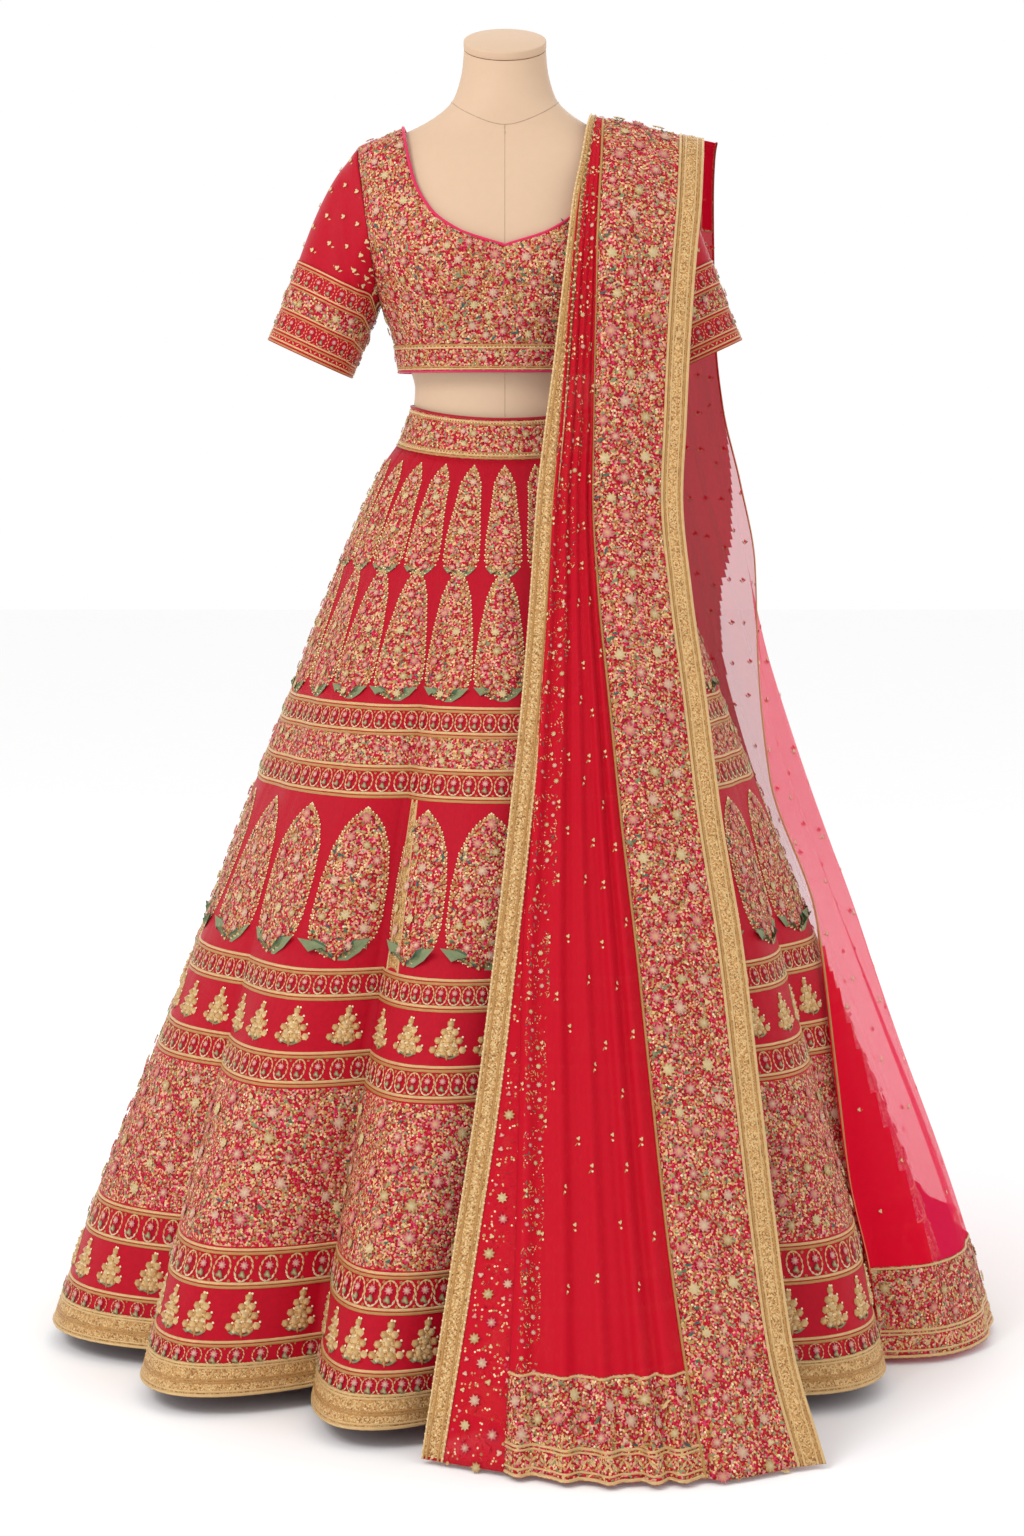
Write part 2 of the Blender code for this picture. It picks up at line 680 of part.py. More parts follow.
def tube_round(name, path, radius, sides, material):
    """A closed ring of tube along a closed path of points."""
    shape = bmesh.new()
    loops = []
    count = len(path)
    for number, point in enumerate(path):
        along = path[(number + 1) % count] - path[number - 1]
        along = along / np.linalg.norm(along)
        first = np.cross(along, outward(point))
        first = first / np.linalg.norm(first)
        second = np.cross(first, along)
        loop = []
        for side in range(sides):
            turn = 2.0 * math.pi * side / sides
            loop.append(shape.verts.new(point + radius * (math.cos(turn) * first + math.sin(turn) * second)))
        loops.append(loop)
    for number, loop in enumerate(loops):
        following = loops[(number + 1) % count]
        for side in range(sides):
            beside = (side + 1) % sides
            shape.faces.new((loop[side], loop[beside], following[beside], following[side]))
    return add_object(name, shape, material)


def build_neck_piping(material):
    """The piping along the neckline, just clear of the panels' edge."""
    places = neckline_path()
    points = [choli_point(*place) - 0.5 * CLOTH * choli_normal(*place) for place in places]
    moved = []
    count = len(points)
    for number, point in enumerate(points):
        along = points[(number + 1) % count] - points[number - 1]
        away = np.cross(choli_normal(*places[number]), along)
        away = away / np.linalg.norm(away)
        moved.append(point + away * (PIPING_RADIUS + SEAM))
    tube_round("choli_neck_piping", moved, PIPING_RADIUS, PIPING_SIDES, material)


def armhole_point(turn):
    """A point of the armhole seam, from its top (0) round by the front (90)."""
    middle = (ARMPIT[1] + SHOULDER_TIP[1]) / 2.0
    reach = (SHOULDER_TIP[1] - ARMPIT[1]) / 2.0
    height = middle + reach * math.cos(math.radians(turn))
    behind = math.sin(math.radians(turn)) < 0.0
    angle = angle_at_width(armhole_width(height), height, behind)
    point = choli_point(angle, height)
    point[0] = armhole_width(height)
    return point


def sleeve_middle(along):
    """A point of the sleeve's middle line."""
    start = np.array((mix(ARMPIT[0], SHOULDER_TIP[0], 0.5), 0.0, mix(ARMPIT[1], SHOULDER_TIP[1], 0.5)))
    return mix(start, np.array(CUFF_CENTRE), along)


def sleeve_point(turn, along):
    """A point of the sleeve's outer face, from the armhole (0) to the cuff (1)."""
    top, front = math.cos(math.radians(turn)), math.sin(math.radians(turn))
    cuff = np.array(CUFF_CENTRE) + CUFF_HALF_WIDTH * top * np.array(CUFF_OUTWARD)
    cuff = cuff + np.array((0.0, -CUFF_HALF_DEPTH * front, 0.0))
    fullness = CAP_FULLNESS * FULLNESS_PEAK * along * (1.0 - along) ** 2 * max(top, 0.0)
    return mix(armhole_point(turn), cuff, along) + fullness * np.array((0.8, 0.0, 0.6))


def sleeve_along(turn, row):
    """Where a row of the sleeve lies along it, so that the border's rows run level with the cuff."""
    length = np.linalg.norm(sleeve_point(turn, 0.0) - sleeve_point(turn, 1.0))
    start = max(1.0 - SLEEVE_BORDER_LENGTH / length, LEAST_BORDER_START)
    border_row = SLEEVE_ROWS[SLEEVE_BORDER_FROM]
    if row <= border_row:
        return mix(SLEEVE_ROWS[0], start, (row - SLEEVE_ROWS[0]) / (border_row - SLEEVE_ROWS[0]))
    return mix(start, 1.0, (row - border_row) / (1.0 - border_row))


def sleeve_grid(side, rows):
    """Points and outward directions of a sleeve's rows, in the planes of its rings."""
    grid, away = [], []
    mirror = np.array((side, 1.0, 1.0))
    turns = [360.0 * column / SLEEVE_SIDES for column in range(SLEEVE_SIDES)]
    for row in rows:
        points = [sleeve_point(turn, sleeve_along(turn, row)) for turn in turns]
        directions = [point - sleeve_middle(sleeve_along(turn, row)) for point, turn in zip(points, turns)]
        grid.append([point * mirror for point in points])
        away.append([direction / np.linalg.norm(direction) * mirror for direction in directions])
    return grid, away


def build_sleeve(name, side, cloth, border):
    """A sleeve and the border sewn on its lower half."""
    grid, away = sleeve_grid(side, SLEEVE_ROWS)
    grid_wall("choli_sleeve_" + name, grid, away, -CLOTH, 0.0, cloth, closed=True)
    grid, away = sleeve_grid(side, SLEEVE_ROWS[SLEEVE_BORDER_FROM:])
    grid_wall("choli_sleeve_border_" + name, grid, away, SKIN_GAP, SKIN_GAP + TRIM, border, closed=True)


def build_choli():
    """The choli: front, two backs, sleeves, piping and borders."""
    cloth = finish("choli_cloth", CRIMSON, 0.5)
    border = finish("gold_border", BORDER_GOLD, 0.5)
    piping = finish("piping", PIPING_PINK, 0.6)
    build_choli_front(cloth)
    build_choli_back("choli_back_left", 1.0, cloth)
    build_choli_back("choli_back_right", -1.0, cloth)
    build_sleeve("left", 1.0, cloth, border)
    build_sleeve("right", -1.0, cloth, border)
    build_hem_band(border)
    build_neck_piping(piping)


def build_waistband(material):
    """The waistband, a ring that dips at the centre front."""
    grid, away = [], []
    for share in (0.0, 1.0):
        line = []
        for column in range(2 * KALIS):
            angle = FIRST_VALLEY + KALI_TURN * column / 2.0
            level = mix(BAND_BOTTOM, BAND_TOP, share)
            point = round_skirt(SKIRT_WIDTH(level), angle, level)
            point[2] -= dip(angle)
            line.append(point)
        grid.append(line)
        away.append([outward(point) for point in line])
    grid_wall("lehenga_waistband", grid, away, -KALI_CLOTH, 0.0, material, closed=True)


def kali_heights(angle):
    """The heights of a kali's rows, from just under the waistband to the hem."""
    return (BAND_BOTTOM - dip(angle) - SEAM, *KALI_ROW_HEIGHTS)


def kali_line(number):
    """The places of a kali's columns, with half a seam's gap at either side."""
    return [number + column / KALI_COLUMNS for column in range(KALI_COLUMNS + 1)]


def kali_point(place, row, shift):
    """A point of a kali's face in one of its rows, shifted along the seam's gap."""
    height = kali_heights(skirt_angle(place, BAND_BOTTOM))[row]
    level = height if row else BAND_BOTTOM
    point = skirt_point(place, level)
    point[2] = height
    turn = math.radians(skirt_angle(place, level))
    return point + shift * np.array((math.cos(turn), math.sin(turn), 0.0))


def build_kali(number, material):
    """One kali, a flared panel of the skirt between two seams."""
    places = kali_line(number)
    grid = []
    for row in range(len(KALI_ROW_HEIGHTS) + 1):
        line = []
        for column, place in enumerate(places):
            shift = SEAM / 2.0 if column == 0 else 0.0
            shift = -SEAM / 2.0 if column == KALI_COLUMNS else shift
            line.append(kali_point(place, row, shift))
        grid.append(line)
    away = [[outward(point) for point in line] for line in grid]
    grid_wall(f"lehenga_kali_{number + 1:02d}", grid, away, -KALI_CLOTH, 0.0, material)


def build_hem_border(name, first, material):
    """Half of the border sewn round the skirt's hem, over twelve kalis."""
    rows = len(KALI_ROW_HEIGHTS)
    count = KALIS // 2 * KALI_COLUMNS
    grid = []
    for row in (rows - 1, rows):
        line = []
        for column in range(count + 1):
            shift = SEAM / 2.0 if column == 0 else 0.0
            shift = -SEAM / 2.0 if column == count else shift
            line.append(kali_point(first + column / KALI_COLUMNS, row, shift))
        grid.append(line)
    away = [[outward(point) for point in line] for line in grid]
    grid_wall("lehenga_hem_border_" + name, grid, away, SKIN_GAP, SKIN_GAP + TRIM, material)


def build_lehenga():
    """The lehenga: waistband, 24 kalis and the two halves of the hem border."""
    cloth = finish("lehenga_cloth", CRIMSON, 0.5)
    border = finish("gold_border", BORDER_GOLD, 0.5)
    build_waistband(border)
    for number in range(KALIS):
        build_kali(number, cloth)
    build_hem_border("right", 0, border)
    build_hem_border("left", KALIS // 2, border)


def drop_point(row, width, forward):
    """A point of the front drop at a distance across, moved forward of its plain face."""
    z_left, z_right, x_left, _, _, x_right, y_left, y_right, belly, _ = FRONT_DROP[row]
    share = (width - x_left) / (x_right - x_left)
    depth = mix(y_left, y_right, share) - belly * math.sin(math.pi * min(max(share, 0.0), 1.0))
    flat = ease(2.0 - row)
    level = mix(z_left, z_right, share) + forward * flat
    return np.array((width, depth - forward * (1.0 - flat), level))


def drop_grid(columns, start, end, forward):
    """A grid of the front drop between two of its edges, read by functions of the row."""
    grid = []
    for row in range(len(FRONT_DROP)):
        line = []
        for column in range(columns + 1):
            share = column / columns
            width = mix(start(row), end(row), share)
            line.append(drop_point(row, width, forward(row, share)))
        grid.append(line)
    return grid


def net_forward(row, share):
    """How far the front net's pleats stand forward."""
    return FRONT_DROP[row][9] * abs(math.sin(math.pi * NET_PLEATS * share))


def band_forward(row, share):
    """The border stands forward of the net, past a soft roll at its inner edge."""
    grown = min(row / 4.0, 1.0)
    wave = 0.004 * grown * math.sin(2.0 * math.pi * share)
    return BAND_STAND * grown * ease(share / BAND_STAND_SHARE) + wave


def build_front_drop(net, border):
    """The front drop's stretches: the outer border, the pleated net, the inner border and the end."""
    grid = drop_grid(LEFT_COLUMNS, lambda row: FRONT_DROP[row][2], lambda row: FRONT_DROP[row][3], lambda row, share: 0.0)
    grid_wall("dupatta_front_inner_border", grid, grid_directions(grid), -CLOTH, 0.0, border)
    start, end = lambda row: FRONT_DROP[row][3] + EDGE_GAP, lambda row: FRONT_DROP[row][4] - EDGE_GAP
    grid = drop_grid(NET_COLUMNS, start, end, net_forward)
    away = grid_directions(grid)
    grid_wall("dupatta_front_net", grid, away, -CLOTH, 0.0, net)
    grid_wall("dupatta_front_end_border", grid[-2:], away[-2:], SKIN_GAP, SKIN_GAP + TRIM, border)
    grid = drop_grid(BAND_COLUMNS, lambda row: FRONT_DROP[row][4], lambda row: FRONT_DROP[row][5], band_forward)
    grid_wall("dupatta_front_outer_border", grid, grid_directions(grid), -CLOTH, 0.0, border)


def hang_line(row):
    """Points of the back fall in one of the rows that hang from the shoulder."""
    z_outer, z_inner, x_outer, y_outer, x_inner, y_inner, bow, pleat = BACK_HANG[row]
    flat = ease(2.0 - row)
    line = []
    for column in range(BACK_COLUMNS + 1):
        share = column / BACK_COLUMNS
        wave = pleat * abs(math.sin(math.pi * BACK_PLEATS * share))
        stand = wave * (1.0 - flat) + 4.0 * bow * share * (1.0 - share)
        width = mix(x_outer, x_inner, share) + 0.6 * stand
        depth = mix(y_outer, y_inner, share) + 0.8 * stand
        line.append(np.array((width, depth, mix(z_outer, z_inner, share) + wave * flat)))
    return line


def wrap_line(row):
    """Points of the back fall in one of the rows that lie round the skirt."""
    height, start, end, start_stand, end_stand, pleat = BACK_WRAP[row]
    tucked = ease((TUCK_TOP - height) / TUCK_REACH)
    line = []
    for column in range(BACK_COLUMNS + 1):
        share = column / BACK_COLUMNS
        angle = mix(start, end, share)
        level = max(height, SKIRT_HEM)
        crest = SKIRT_WIDTH(level)
        stand = mix(start_stand, end_stand, share)
        inside = fold(place_at_angle(angle, level), level)
        free = mix(1.0, ease((angle - start) / TUCK_ANGLE), tucked)
        radius = mix(crest - inside + TUCK_CLEARANCE, crest + stand, free)
        radius += pleat * abs(math.sin(math.pi * BACK_PLEATS * share)) * free
        point = round_skirt(radius, angle, level)
        point[2] = height
        line.append(point)
    return line


def build_back_fall(net, border):
    """The stretch that goes back over the shoulder and falls round the skirt, with its end border."""
    grid = [hang_line(row) for row in range(len(BACK_HANG))]
    grid += [wrap_line(row) for row in range(len(BACK_WRAP))]
    away = grid_directions(grid)
    grid_wall("dupatta_back_fall", grid, away, -CLOTH, 0.0, net)
    grid_wall("dupatta_back_end_border", grid[-2:], away[-2:], SKIN_GAP, SKIN_GAP + TRIM, border)


def build_dupatta():
    """The dupatta, over the wearer's left shoulder."""
    net = finish("dupatta_net", NET_RED, 0.5)
    border = finish("gold_border", BORDER_GOLD, 0.5)
    build_front_drop(net, border)
    build_back_fall(net, border)


def main():
    """Clears the scene and builds every sub-part."""
    for leftover in list(bpy.data.objects):
        bpy.data.objects.remove(leftover)
    build_form()
    build_choli()
    build_lehenga()
    build_dupatta()


if __name__ == "__main__":
    main()
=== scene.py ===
"""Looks of a lehenga choli with its dupatta, worn on a limbless dress form.

Every cloth face repeats the form of its solid with a finer grid, and the embroidery is laid on those faces.
Metres, +Z up, the front faces -Y, and angles run from the front (0) to the wearer's left (90, +X).
"""

import logging
import math
import random
from dataclasses import dataclass, field
from enum import Enum
from typing import Callable, Sequence

import bmesh
import bpy
import numpy as np
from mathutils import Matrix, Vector


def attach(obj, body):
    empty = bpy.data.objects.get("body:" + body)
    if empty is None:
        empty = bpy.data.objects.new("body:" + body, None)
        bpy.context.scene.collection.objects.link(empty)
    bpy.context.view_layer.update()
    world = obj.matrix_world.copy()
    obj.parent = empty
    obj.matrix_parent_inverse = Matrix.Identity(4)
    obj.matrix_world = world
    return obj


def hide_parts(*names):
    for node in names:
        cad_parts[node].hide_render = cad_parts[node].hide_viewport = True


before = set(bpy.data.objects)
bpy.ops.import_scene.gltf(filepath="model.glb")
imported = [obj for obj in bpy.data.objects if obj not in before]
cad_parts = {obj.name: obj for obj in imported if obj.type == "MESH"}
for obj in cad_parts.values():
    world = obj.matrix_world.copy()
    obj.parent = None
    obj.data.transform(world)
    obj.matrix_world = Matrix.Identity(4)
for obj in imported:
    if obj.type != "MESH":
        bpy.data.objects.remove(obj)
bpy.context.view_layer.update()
LOG = logging.getLogger("lehenga")
Array = np.ndarray
Place = tuple[float, float]


def linear(red: int, green: int, blue: int) -> tuple[float, float, float]:
    """A colour given in screen values from 0 to 255, in linear light."""
    shares = [value / 255.0 for value in (red, green, blue)]
    return tuple(s / 12.92 if s <= 0.04045 else ((s + 0.055) / 1.055) ** 2.4 for s in shares)


class Thread(Enum):
    """The colours of the threads, cords, beads and cloths."""

    CRIMSON = linear(180, 3, 32)
    RUBY = linear(140, 4, 32)
    PINK = linear(212, 44, 88)
    ROSE = linear(222, 92, 120)
    BLUSH = linear(226, 150, 140)
    CORAL = linear(208, 74, 58)
    CREAM = linear(232, 212, 168)
    GOLD = linear(196, 146, 84)
    PALE_GOLD = linear(226, 188, 130)
    OLD_GOLD = linear(156, 106, 56)
    MUSTARD = linear(190, 142, 48)
    SAGE = linear(134, 146, 106)
    GREEN = linear(84, 114, 84)
    TEAL = linear(66, 100, 94)
    BUFF = linear(178, 148, 122)


class Work(Enum):
    """What a stitched part is made of, which is also its material's place on a piece."""

    SILK = 0
    METAL = 1
    BEAD = 2
    GROUND = 3
    GILT = 4


# Tables of sizes, the same as the solids have
CHOLI_ROWS = (
    (1.153, 0.1280, 0.0970, 0.0880, 2.2),
    (1.187, 0.1340, 0.1030, 0.0910, 2.2),
    (1.210, 0.1410, 0.1080, 0.0930, 2.3),
    (1.235, 0.1510, 0.1135, 0.0950, 2.4),
    (1.282, 0.1696, 0.1190, 0.0990, 2.6),
    (1.330, 0.1848, 0.1130, 0.1000, 2.6),
    (1.377, 0.1841, 0.0990, 0.0950, 2.6),
    (1.405, 0.1815, 0.0890, 0.0860, 2.6),
    (1.424, 0.1780, 0.0790, 0.0760, 2.5),
    (1.436, 0.1515, 0.0700, 0.0670, 2.4),
    (1.448, 0.1250, 0.0615, 0.0585, 2.3),
)
FORM_ROWS = (
    (0.820, 0.0960, 0.0690, 0.0680, 2.0),
    (0.827, 0.1180, 0.0860, 0.0850, 2.0),
    (0.850, 0.1420, 0.1030, 0.1040, 2.0),
    (0.900, 0.1600, 0.1150, 0.1170, 2.1),
    (0.960, 0.1560, 0.1110, 0.1100, 2.1),
    (1.010, 0.1430, 0.1020, 0.0970, 2.1),
    (1.055, 0.1240, 0.0920, 0.0840, 2.0),
    (1.095, 0.1122, 0.0840, 0.0770, 2.0),
    (1.114, 0.1107, 0.0825, 0.0750, 2.0),
    (1.134, 0.1092, 0.0815, 0.0740, 2.0),
    (1.160, 0.1160, 0.0850, 0.0775, 2.1),
    (1.195, 0.1280, 0.0930, 0.0830, 2.2),
    (1.235, 0.1455, 0.1075, 0.0895, 2.4),
    (1.282, 0.1640, 0.1130, 0.0935, 2.6),
    (1.330, 0.1790, 0.1075, 0.0945, 2.6),
    (1.377, 0.1785, 0.0935, 0.0895, 2.6),
    (1.402, 0.1760, 0.0835, 0.0805, 2.6),
    (1.419, 0.1715, 0.0735, 0.0700, 2.5),
    (1.431, 0.1460, 0.0640, 0.0610, 2.4),
    (1.443, 0.1190, 0.0560, 0.0530, 2.3),
    (1.455, 0.0950, 0.0550, 0.0520, 2.2),
    (1.468, 0.0760, 0.0545, 0.0520, 2.1),
    (1.482, 0.0630, 0.0530, 0.0520, 2.0),
    (1.500, 0.0560, 0.0510, 0.0510, 2.0),
    (1.520, 0.0515, 0.0500, 0.0500, 2.0),
    (1.544, 0.0495, 0.0495, 0.0495, 2.0),
)
FRONT_NECK = ((1.301, 0.0), (1.319, 0.0536), (1.345, 0.0893), (1.381, 0.1095), (1.448, 0.1244))
BACK_NECK = ((1.362, 0.0), (1.370, 0.0500), (1.390, 0.0850), (1.415, 0.1060), (1.448, 0.1244))
FRONT_PANEL_ROWS = (
    (1.153, 1.153),
    (1.187, 1.187),
    (1.212, 1.212),
    (1.235, 1.235),
    (1.241, 1.240),
    (1.255, 1.250),
    (1.276, 1.267),
    (1.301, 1.288),
    (1.310, 1.302),
    (1.320, 1.318),
    (1.333, 1.334),
    (1.348, 1.350),
    (1.366, 1.367),
    (1.386, 1.384),
    (1.408, 1.399),
    (1.426, 1.410),
    (1.438, 1.4175),
    (1.4445, 1.4214),
    (1.4472, 1.4234),
    (1.448, 1.424),
)
BACK_PANEL_ROWS = (
    (1.153, 1.153),
    (1.187, 1.187),
    (1.212, 1.212),
    (1.235, 1.235),
    (1.242, 1.240),
    (1.258, 1.250),
    (1.290, 1.274),
    (1.328, 1.306),
    (1.362, 1.338),
    (1.366, 1.350),
    (1.373, 1.362),
    (1.383, 1.375),
    (1.397, 1.389),
    (1.414, 1.402),
    (1.428, 1.411),
    (1.438, 1.4175),
    (1.4445, 1.4214),
    (1.4472, 1.4234),
    (1.448, 1.424),
)
SKIRT_ROWS = (
    (1.120, 0.1120, 0.800),
    (1.114, 0.1135, 0.800),
    (1.065, 0.1320, 0.790),
    (1.047, 0.1450, 0.790),
    (0.900, 0.2100, 0.880),
    (0.750, 0.2680, 1.000),
    (0.656, 0.3060, 1.000),
    (0.412, 0.4040, 1.000),
    (0.168, 0.5050, 1.000),
    (0.022, 0.5540, 1.000),
)
VALLEYS = (
    (-92.0, 0.060, 0.70),
    (-58.0, 0.092, 0.62),
    (-29.0, 0.125, 0.98),
    (-5.0, 0.080, 0.66),
    (30.0, 0.095, 0.75),
    (63.0, 0.090, 0.70),
    (92.0, 0.070, 0.66),
    (120.0, 0.100, 0.78),
    (150.0, 0.080, 0.62),
    (180.0, 0.105, 0.82),
    (210.0, 0.080, 0.66),
    (239.0, 0.095, 0.74),
)
FRONT_DROP = (
    (1.4645, 1.4360, 0.1040, 0.1100, 0.1180, 0.2420, 0.012, 0.012, 0.000, 0.0005),
    (1.4620, 1.4310, 0.1020, 0.1090, 0.1165, 0.2400, -0.024, -0.018, 0.001, 0.0010),
    (1.4460, 1.4140, 0.0970, 0.1050, 0.1150, 0.2380, -0.056, -0.045, 0.002, 0.0015),
    (1.4080, 1.3860, 0.0900, 0.0990, 0.1130, 0.2355, -0.088, -0.068, 0.003, 0.0020),
    (1.3600, 1.3500, 0.0800, 0.0920, 0.1100, 0.2325, -0.116, -0.090, 0.004, 0.0030),
    (1.3000, 1.2980, 0.0725, 0.0860, 0.1070, 0.2265, -0.138, -0.110, 0.005, 0.0040),
    (1.2400, 1.2400, 0.0655, 0.0810, 0.1055, 0.2215, -0.144, -0.118, 0.005, 0.0050),
    (1.1700, 1.1700, 0.0575, 0.0760, 0.1040, 0.2168, -0.144, -0.124, 0.005, 0.0060),
    (1.0900, 1.0900, 0.0470, 0.0700, 0.1030, 0.2130, -0.144, -0.130, 0.005, 0.0070),
    (1.0050, 1.0050, 0.0370, 0.0620, 0.1020, 0.2086, -0.156, -0.142, 0.006, 0.0080),
    (0.9000, 0.9000, 0.0293, 0.0560, 0.1070, 0.2170, -0.208, -0.180, 0.008, 0.0090),
    (0.7800, 0.7800, 0.0192, 0.0470, 0.1180, 0.2317, -0.272, -0.226, 0.010, 0.0100),
    (0.6500, 0.6500, 0.0050, 0.0370, 0.1300, 0.2462, -0.325, -0.276, 0.012, 0.0110),
    (0.5050, 0.5050, -0.0120, 0.0260, 0.1460, 0.2675, -0.388, -0.337, 0.016, 0.0120),
    (0.3600, 0.3600, -0.0305, 0.0220, 0.1600, 0.2817, -0.450, -0.400, 0.022, 0.0130),
    (0.2200, 0.2200, -0.0530, 0.0180, 0.1740, 0.2950, -0.510, -0.470, 0.032, 0.0150),
    (0.1150, 0.1150, -0.0700, 0.0120, 0.1880, 0.3070, -0.556, -0.530, 0.050, 0.0170),
    (0.0050, 0.0050, -0.0870, 0.0073, 0.2075, 0.3380, -0.572, -0.580, 0.068, 0.0190),
)
BACK_HANG = (
    (1.4320, 1.4645, 0.2575, 0.0130, 0.1040, 0.0130, 0.000, 0.0005),
    (1.4230, 1.4550, 0.2575, 0.0450, 0.1050, 0.0460, 0.000, 0.0010),
    (1.3940, 1.4220, 0.2575, 0.0740, 0.1060, 0.0780, 0.002, 0.0020),
    (1.3400, 1.3600, 0.2585, 0.0930, 0.1050, 0.1030, 0.004, 0.0030),
    (1.2700, 1.2800, 0.2600, 0.0980, 0.1000, 0.1150, 0.006, 0.0040),
    (1.1900, 1.1950, 0.2620, 0.0880, 0.1020, 0.1290, 0.010, 0.0050),
    (1.1100, 1.1100, 0.2700, 0.0700, 0.1080, 0.1480, 0.016, 0.0060),
    (1.0200, 1.0200, 0.2900, 0.0510, 0.1200, 0.1740, 0.020, 0.0070),
)
BACK_WRAP = (
    (0.920, 96.0, 148.0, 0.110, 0.060, 0.0080),
    (0.800, 92.0, 150.0, 0.095, 0.040, 0.0090),
    (0.660, 87.0, 152.0, 0.076, 0.028, 0.0100),
    (0.500, 78.0, 154.0, 0.058, 0.022, 0.0110),
    (0.330, 67.0, 156.0, 0.038, 0.020, 0.0120),
    (0.210, 63.0, 158.0, 0.030, 0.020, 0.0130),
    (0.115, 61.0, 159.0, 0.026, 0.020, 0.0140),
    (0.006, 60.0, 160.0, 0.026, 0.022, 0.0150),
)


class Curve:
    """A smooth curve through a table's rows, with no overshoot between them."""

    def __init__(self, places: Sequence[float], values: Sequence[float]) -> None:
        """Sorts the rows and works out a tangent at each."""
        order = np.argsort(places)
        self.places = np.asarray(places, dtype=float)[order]
        self.values = np.asarray(values, dtype=float)[order]
        slopes = np.diff(self.values, axis=0).T / np.diff(self.places)
        slopes = slopes.T
        before, after = slopes[:-1], slopes[1:]
        total = np.where(np.abs(before + after) < 1e-12, 1.0, before + after)
        inner = np.where(before * after > 0.0, 2.0 * before * after / total, 0.0)
        self.tangents = np.concatenate((slopes[:1], inner, slopes[-1:]))

    def __call__(self, place: float) -> Array:
        """The curve's value at a place, held at its ends."""
        place = min(max(place, self.places[0]), self.places[-1])
        row = min(int(np.searchsorted(self.places, place, side="right")) - 1, len(self.places) - 2)
        step = self.places[row + 1] - self.places[row]
        t = (place - self.places[row]) / step
        soft = t * t * (3.0 - 2.0 * t)
        start = t * (1.0 - t) ** 2 * step * self.tangents[row]
        end = t * t * (t - 1.0) * step * self.tangents[row + 1]
        return (1.0 - soft) * self.values[row] + soft * self.values[row + 1] + start + end


def curves_of(table: Sequence[Sequence[float]]) -> list[Curve]:
    """One curve for each column of a table after its first, read by that first column."""
    columns = list(zip(*table))
    return [Curve(columns[0], column) for column in columns[1:]]


def mix(start: float, end: float, share: float) -> float:
    """The value that lies the given share of the way from start to end."""
    return start + (end - start) * share


def ease(share: float) -> float:
    """A share from 0 to 1 with soft ends."""
    share = min(max(share, 0.0), 1.0)
    return share * share * (3.0 - 2.0 * share)


@dataclass
class Body:
    """A squared ellipse round the body at each height, with the bust's rise in front.

    Args:
        rows: height, half width, front depth, back depth and squareness.
    """

    rows: Sequence[Sequence[float]]
    bust_height: float = 1.272
    bust_angle: float = 34.0
    bust_spread: float = 17.0
    bust_tall: float = 0.042
    bust_rise: float = 0.010

    def __post_init__(self) -> None:
        """Works out the curves of the table."""
        self.curves = curves_of(self.rows)

    def point(self, angle: float, height: float) -> Array:
        """The point at an angle from the front and a height."""
        half_width, front, back, squareness = (curve(height) for curve in self.curves)
        across, forward = math.sin(math.radians(angle)), math.cos(math.radians(angle))
        depth = front if forward > 0.0 else back
        share = (abs(across) / half_width) ** squareness + (abs(forward) / depth) ** squareness
        radius = share ** (-1.0 / squareness)
        if forward > 0.0:
            away = (abs(angle) - self.bust_angle) / self.bust_spread
            above = (height - self.bust_height) / self.bust_tall
            radius += self.bust_rise * math.exp(-away * away - above * above)
        return np.array((radius * across, -radius * forward, height))

    def angle_at_width(self, width: float, height: float, behind: bool) -> float:
        """The angle at which the face is this far from the middle plane."""
        half_width, front, back, squareness = (curve(height) for curve in self.curves)
        depth = back if behind else front
        share = min(width / half_width, 1.0)
        forward = depth * (1.0 - share**squareness) ** (1.0 / squareness)
        angle = math.degrees(math.atan2(share * half_width, forward))
        return 180.0 - angle if behind else angle


